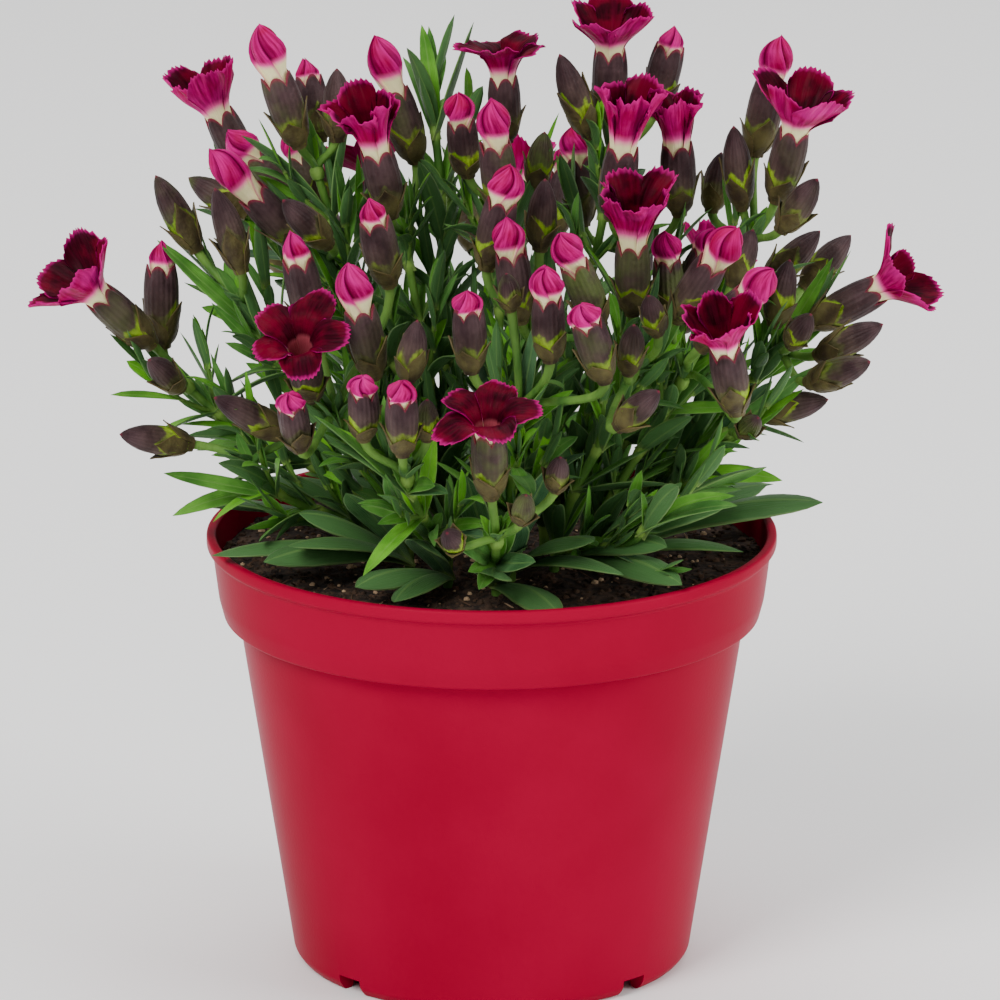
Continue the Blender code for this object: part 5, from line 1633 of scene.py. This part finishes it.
for shoot, (joint, heads) in SHOOTS.items():
    if not heads:
        continue
    joint = Vector(joint)
    aim = shoot_aim(shoot)
    draw = random.Random(SEED + len(shoot) * 7 + len(heads))
    lines = [above_ground([joint + aim * rise for rise, radius, swelling in TIP_JOINT])]
    thicknesses = [MM * radius for rise, radius, swelling in TIP_JOINT]
    swellings = [swelling for rise, radius, swelling in TIP_JOINT]
    calyces = Skin()
    bracts = Leaves()
    for row in heads:
        foot, mouth, axis, length = head_parts(row)
        begin = joint + aim
        reach = (foot - begin).length
        stalk = bezier(begin, begin + aim * (reach * 0.35), foot - axis * (reach * 0.4),
                       foot + axis * 0.8, STALK_RINGS)
        lines.append(above_ground(stalk))
        shares = [index / STALK_RINGS for index in range(STALK_RINGS + 1)]
        thicknesses += [MM * STALK_RADIUS * (1.0 + STALK_SWELL * share ** 5) for share in shares]
        swellings += [0.4 * share ** 3 for share in shares]
        frame = head_frame(row, stalk_points(joint, aim, row))
        scales = Scales(row, draw)
        add_calyx(calyces, row, frame, scales, draw)
        add_scales(calyces, row, frame, scales, draw)
        for number in (0, 1):
            out = across(aim, draw.uniform(0.0, math.tau))
            bract = drawn_leaf("bract", begin, aim, out, draw)
            bracts.add(bract, LEAF_OUTLINE, draw.uniform(0.3, 0.9), draw.uniform(-0.3, 0.3))
    stalks = line_object("stalks_" + shoot, lines, {"thickness": thicknesses, "swelling": swellings})
    grown(stalks, tubes, {"Finish": stem_finish})
    dress(stalks, "heads_" + shoot)
    bracts.piece("bracts_" + shoot, "heads_" + shoot)
    calyces.piece("calyces_" + shoot, calyx_finish, "heads_" + shoot, "calyx")


# The petals that are still rolled stand in the calyx like a furled umbrella: silky sheets wound over
# each other, cream at the calyx and magenta at the tip. Each petal's free edge is a slanting line.
ROLLED_OUTLINES = {
    "furled": ((0.0, 0.62), (0.14, 0.66), (0.28, 0.78), (0.46, 0.93), (0.62, 0.93), (0.76, 0.78),
               (0.88, 0.52), (0.96, 0.26), (1.0, 0.08)),
    "dome": ((0.0, 0.66), (0.2, 0.74), (0.45, 0.88), (0.64, 0.84), (0.82, 0.6), (0.94, 0.3), (1.0, 0.1)),
    "tipped": ((0.0, 0.64), (0.25, 0.68), (0.55, 0.66), (0.76, 0.46), (0.92, 0.22), (1.0, 0.07)),
}
ROLLED_PETALS = 4
ROLLED_COLUMNS = 13
ROLLED_ROWS = 17
ROLLED_TWIST = {"furled": 1.3, "dome": 1.0, "tipped": 0.8}
ROLLED_LAP = 0.30
ROLLED_SHARP = 50.0         # degrees: folds sharper than this stay sharp
LAP_END = 0.985             # each sheet ends just before the next one starts
FOLD_WIDTH = 0.42           # share of a sheet that is in its neighbour's shade
ROLLED_EDGE_HIGHLIGHT = 0.84           # where on a sheet the painted highlight along its edge starts
ROLLED_WRINKLE = 0.12
ROLLED_DEPTH = 1.2          # how deep in the mouth the sheets start
HIDDEN_SHARE = 0.08         # of their height that the mouth hides


def add_rolled(skin, row, frame, draw):
    """The outer petals of one head, wound up in its mouth."""
    kind = row[0]
    foot, mouth, axis, length = head_parts(row)
    belly = calyx_radius(row)
    peak = Vector(row[2])
    tint = draw.random()
    turn = draw.uniform(0.0, math.tau)
    hand = -1.0 if draw.random() < 0.5 else 1.0
    low = mouth - axis * ROLLED_DEPTH
    rings = []
    for station in range(ROLLED_ROWS):
        t = station / (ROLLED_ROWS - 1)
        t_open = past(t, HIDDEN_SHARE)
        ring = []
        for petal in range(ROLLED_PETALS):
            for column in range(ROLLED_COLUMNS):
                lap = column / (ROLLED_COLUMNS - 1)
                angle = math.tau * (petal + lap * LAP_END) / ROLLED_PETALS
                angle = turn + hand * (angle - ROLLED_TWIST[kind] * t)
                radius = belly * share_at(ROLLED_OUTLINES[kind], t_open)
                radius *= 1.0 + ROLLED_LAP * (lap - 0.5) * math.sin(math.pi * min(1.0, t * 0.9 + 0.1))
                radius += ROLLED_WRINKLE * math.sin(angle * 2.0 + t * 9.0 + tint * 6.0) * t
                uneven = (0.35 * math.sin(petal * 2.3 + tint * 9.0) + 0.5 * (lap - 0.5)) * t ** 5
                ring.append(low.lerp(peak, t) + axis * uneven + spoke(frame, angle) * radius)
                # Painted light on each sheet: fold darkens it as painted shade where it runs under its
                # neighbour, and its edge band is a painted highlight.
                skin.paint(along=t_open, across=lap, inner=0.0, tint=tint,
                           fold=past(1.0 - lap, 1.0 - FOLD_WIDTH), rim=past(lap, ROLLED_EDGE_HIGHLIGHT))
        rings.append(ring)
    skin.tube(rings)


petal_finish, tree, shader = finish_of("petal_silk", 0.40, 0.03, 0.02)
shader.inputs["Sheen Roughness"].default_value = 0.35
shader.inputs["Sheen Tint"].default_value = (1.0, 0.12, 0.6, 1.0)
along = painted(tree, "along")
silk = streaked(tree, 5.0, 1.4, 37.0, 1.8, 4.0)
streaks = ramp(tree, silk, 0.28, 0.72)
patches = ramp(tree, mottle(tree, 170.0, 3.0), 0.40, 0.66)
magenta = mixed(tree, streaks, (0.210, 0.0, 0.050), (0.520, 0.0, 0.172))
crimson = coated(tree, magenta, patches, 0.55, (0.270, 0.0, 0.020))
# Painted highlight: scattered patches of pale lilac-pink lighten the magenta, where light would catch the
# silk.
bright = ramp(tree, mottle(tree, 120.0, 2.0), 0.50, 0.70)
painted_lilac_highlight = coated(tree, crimson, bright, 0.24, (0.95, 0.020, 0.46))
# Painted shade: where a rolled sheet runs under its neighbour, its colour is darkened nearly to black
# crimson.
folded = coated(tree, painted_lilac_highlight, painted(tree, "fold"), 0.85, (0.075, 0.0, 0.010))
rosy = mixed(tree, ramp(tree, along, 0.48, 0.33), folded, (0.90, 0.12, 0.40))
cream = mixed(tree, ramp(tree, along, 0.40, 0.27), rosy, (0.86, 0.80, 0.44))
velvet = mixed(tree, patches, (0.014, 0.0, 0.002), (0.110, 0.0, 0.010))
veined = coated(tree, velvet, streaks, 0.30, (0.120, 0.0, 0.020))
hearted = mixed(tree, ramp(tree, along, 0.36, 0.28), veined, (0.30, 0.05, 0.07))
faced = mixed(tree, painted(tree, "inner"), cream, hearted)
# A magenta band at the edge: on open petals it is their own margin, on rolled sheets a painted highlight
# along the edge that lies over the next sheet.
rimmed = coated(tree, faced, painted(tree, "rim"), 0.7, (0.50, 0.002, 0.19))
tree.links.new(rimmed, shader.inputs["Base Color"])
roughen(tree, shader, silk, 0.0007, 0.4)

for shoot, (joint, heads) in SHOOTS.items():
    joint = Vector(joint)
    draw = random.Random(SEED + len(shoot) * 13 + len(heads))
    rolled = Skin()
    for row in heads:
        if row[0] in ROLLED_OUTLINES:
            stalk = stalk_points(joint, shoot_aim(shoot), row)
            add_rolled(rolled, row, head_frame(row, stalk), draw)
    if rolled.faces:
        rolled.piece("rolled_petals_" + shoot, petal_finish, "heads_" + shoot, "petal", ROLLED_SHARP)


# An open flower has five petals. Each is a narrow cream claw that stands in the calyx and a fan-shaped
# limb with a fringed edge, dark velvet inside and magenta outside; each lies over its neighbour.
PETAL_ROWS = 14
PETAL_COLUMNS = 25
PETAL_THICK = 0.32
CLAW_HALF_WIDTH = 1.9
PETAL_FULLNESS = 1.10       # limbs are this much broader than the solid ones
PETAL_SPREAD = 0.74         # most of a turn, in radians, that half a petal covers
PETAL_SHARP = 75.0
CLAW_DEPTH = 2.7            # how deep in the calyx a claw starts
PETAL_THINNING = 0.45
PETAL_WAVES = (1.3, 2.2)    # across one petal
EDGE_OUT = (-1.4, 2.0)      # how far its edge may be bent out, and down
EDGE_DOWN = (-0.6, 1.4)
FRINGE = 0.052              # depth of the teeth at its edge, as a share of a petal
FRINGE_START = 0.86
RIM_START = 0.92            # where the bright rim starts towards the edge, and towards the sides
FLANK_START = 0.88
EDGE_DROP = 0.30            # how much shorter its corners are than its middle
LAP_SLOPE = 0.28            # how far one side stands over the neighbour
RUFFLE = {"open": 0.55, "cup": 0.7, "star": 0.5, "flat": 0.45, "crumpled": 1.1}
WIDTH_OUTLINE = ((0.0, 0.0), (0.28, 0.02), (0.40, 0.30), (0.55, 0.66), (0.75, 0.95), (0.88, 1.0),
                 (1.0, 0.88))


def petal_spine(row, petal):
    """The middle line of a petal from deep in the calyx to its edge, evenly curved."""
    foot, mouth, axis, length = head_parts(row)
    throat, middle, edge, out, side, size = petal
    belly = calyx_radius(row)
    low = mouth - axis * CLAW_DEPTH + out * (belly * 0.60)
    lip = mouth + axis * 0.4 + out * (belly * 0.68)
    neck = mouth + axis * THROAT_RISE + out * (belly * 0.74)
    return smooth_line([low, lip, neck, neck.lerp(middle, 0.5), middle, edge], 0.8)


def add_petal(skin, row, petal, draw):
    """One petal as a thin shell wrapped round the flower's axis."""
    kind = row[0]
    foot, mouth, axis, length = head_parts(row)
    throat, middle, edge, out, side, size = petal
    edge = edge + out * draw.uniform(*EDGE_OUT) - axis * draw.uniform(*EDGE_DOWN)
    spine = petal_spine(row, (throat, middle, edge, out, side, size))
    whole = line_length(spine)
    phase = draw.uniform(0.0, math.tau)
    waves = draw.uniform(*PETAL_WAVES)
    tint = draw.random()
    teeth = [draw.uniform(0.4, 1.0) * (column % 2) for column in range(PETAL_COLUMNS)]
    laterals = [column / (PETAL_COLUMNS - 1) * 2.0 - 1.0 for column in range(PETAL_COLUMNS)]
    rings = []
    for number in range(PETAL_ROWS):
        s = number / (PETAL_ROWS - 1)
        full = PETAL_HALF_WIDTH * PETAL_FULLNESS * size
        half = CLAW_HALF_WIDTH + (full - CLAW_HALF_WIDTH) * share_at(WIDTH_OUTLINE, s)
        flank = within(s * 3.0 - 1.6)
        inner_row = []
        outer_row = []
        for u, tooth_depth in zip(laterals, teeth):
            fringe = FRINGE * tooth_depth * past(s, FRINGE_START)
            reach = s * (1.0 - EDGE_DROP * abs(u) ** 3.0 * s) - fringe
            place, way, index = point_along(spine, whole * max(0.0, reach))
            height = (place - mouth).dot(axis)
            radius = max(0.4, (place - mouth - axis * height).dot(out))
            turn = max(-PETAL_SPREAD, min(PETAL_SPREAD, u * half / radius))
            around = out * math.cos(turn) + side * math.sin(turn)
            spot = mouth + axis * height + around * radius
            rise = way.dot(axis)
            run = way.dot(out)
            normal = unit(axis * run - around * rise)
            ruffle = RUFFLE[kind] * (s ** 2.2) * math.sin(phase + waves * math.pi * u + 1.7 * s)
            ruffle += 0.35 * RUFFLE[kind] * s ** 4 * math.sin(phase * 2.0 + 5.0 * math.pi * u)
            spot += normal * (ruffle + LAP_SLOPE * u * min(1.0, s * 2.0))
            thick = PETAL_THICK * (1.0 - PETAL_THINNING * s)
            inner_row.append(spot + normal * (thick / 2))
            outer_row.append(spot - normal * (thick / 2))
        rings.append(inner_row + outer_row[::-1])
        for inner, row_laterals in ((1.0, laterals), (0.0, laterals[::-1])):
            for u in row_laterals:
                rim = max(past(s, RIM_START), flank * past(abs(u), FLANK_START))
                skin.paint(along=s, across=u, inner=inner, rim=rim, tint=tint, fold=0.0)
    skin.tube(rings, True)


for shoot, (joint, heads) in SHOOTS.items():
    for number, row in enumerate(heads):
        if not is_open(row[0]):
            continue
        draw = random.Random(SEED + len(shoot) * 31 + number)
        flower = Skin()
        for petal in petal_lines(row):
            add_petal(flower, row, petal, draw)
        name = shoot + "_" + str(number + 1)
        flower.piece("flower_" + name, petal_finish, "petals_" + name, "petal", PETAL_SHARP)
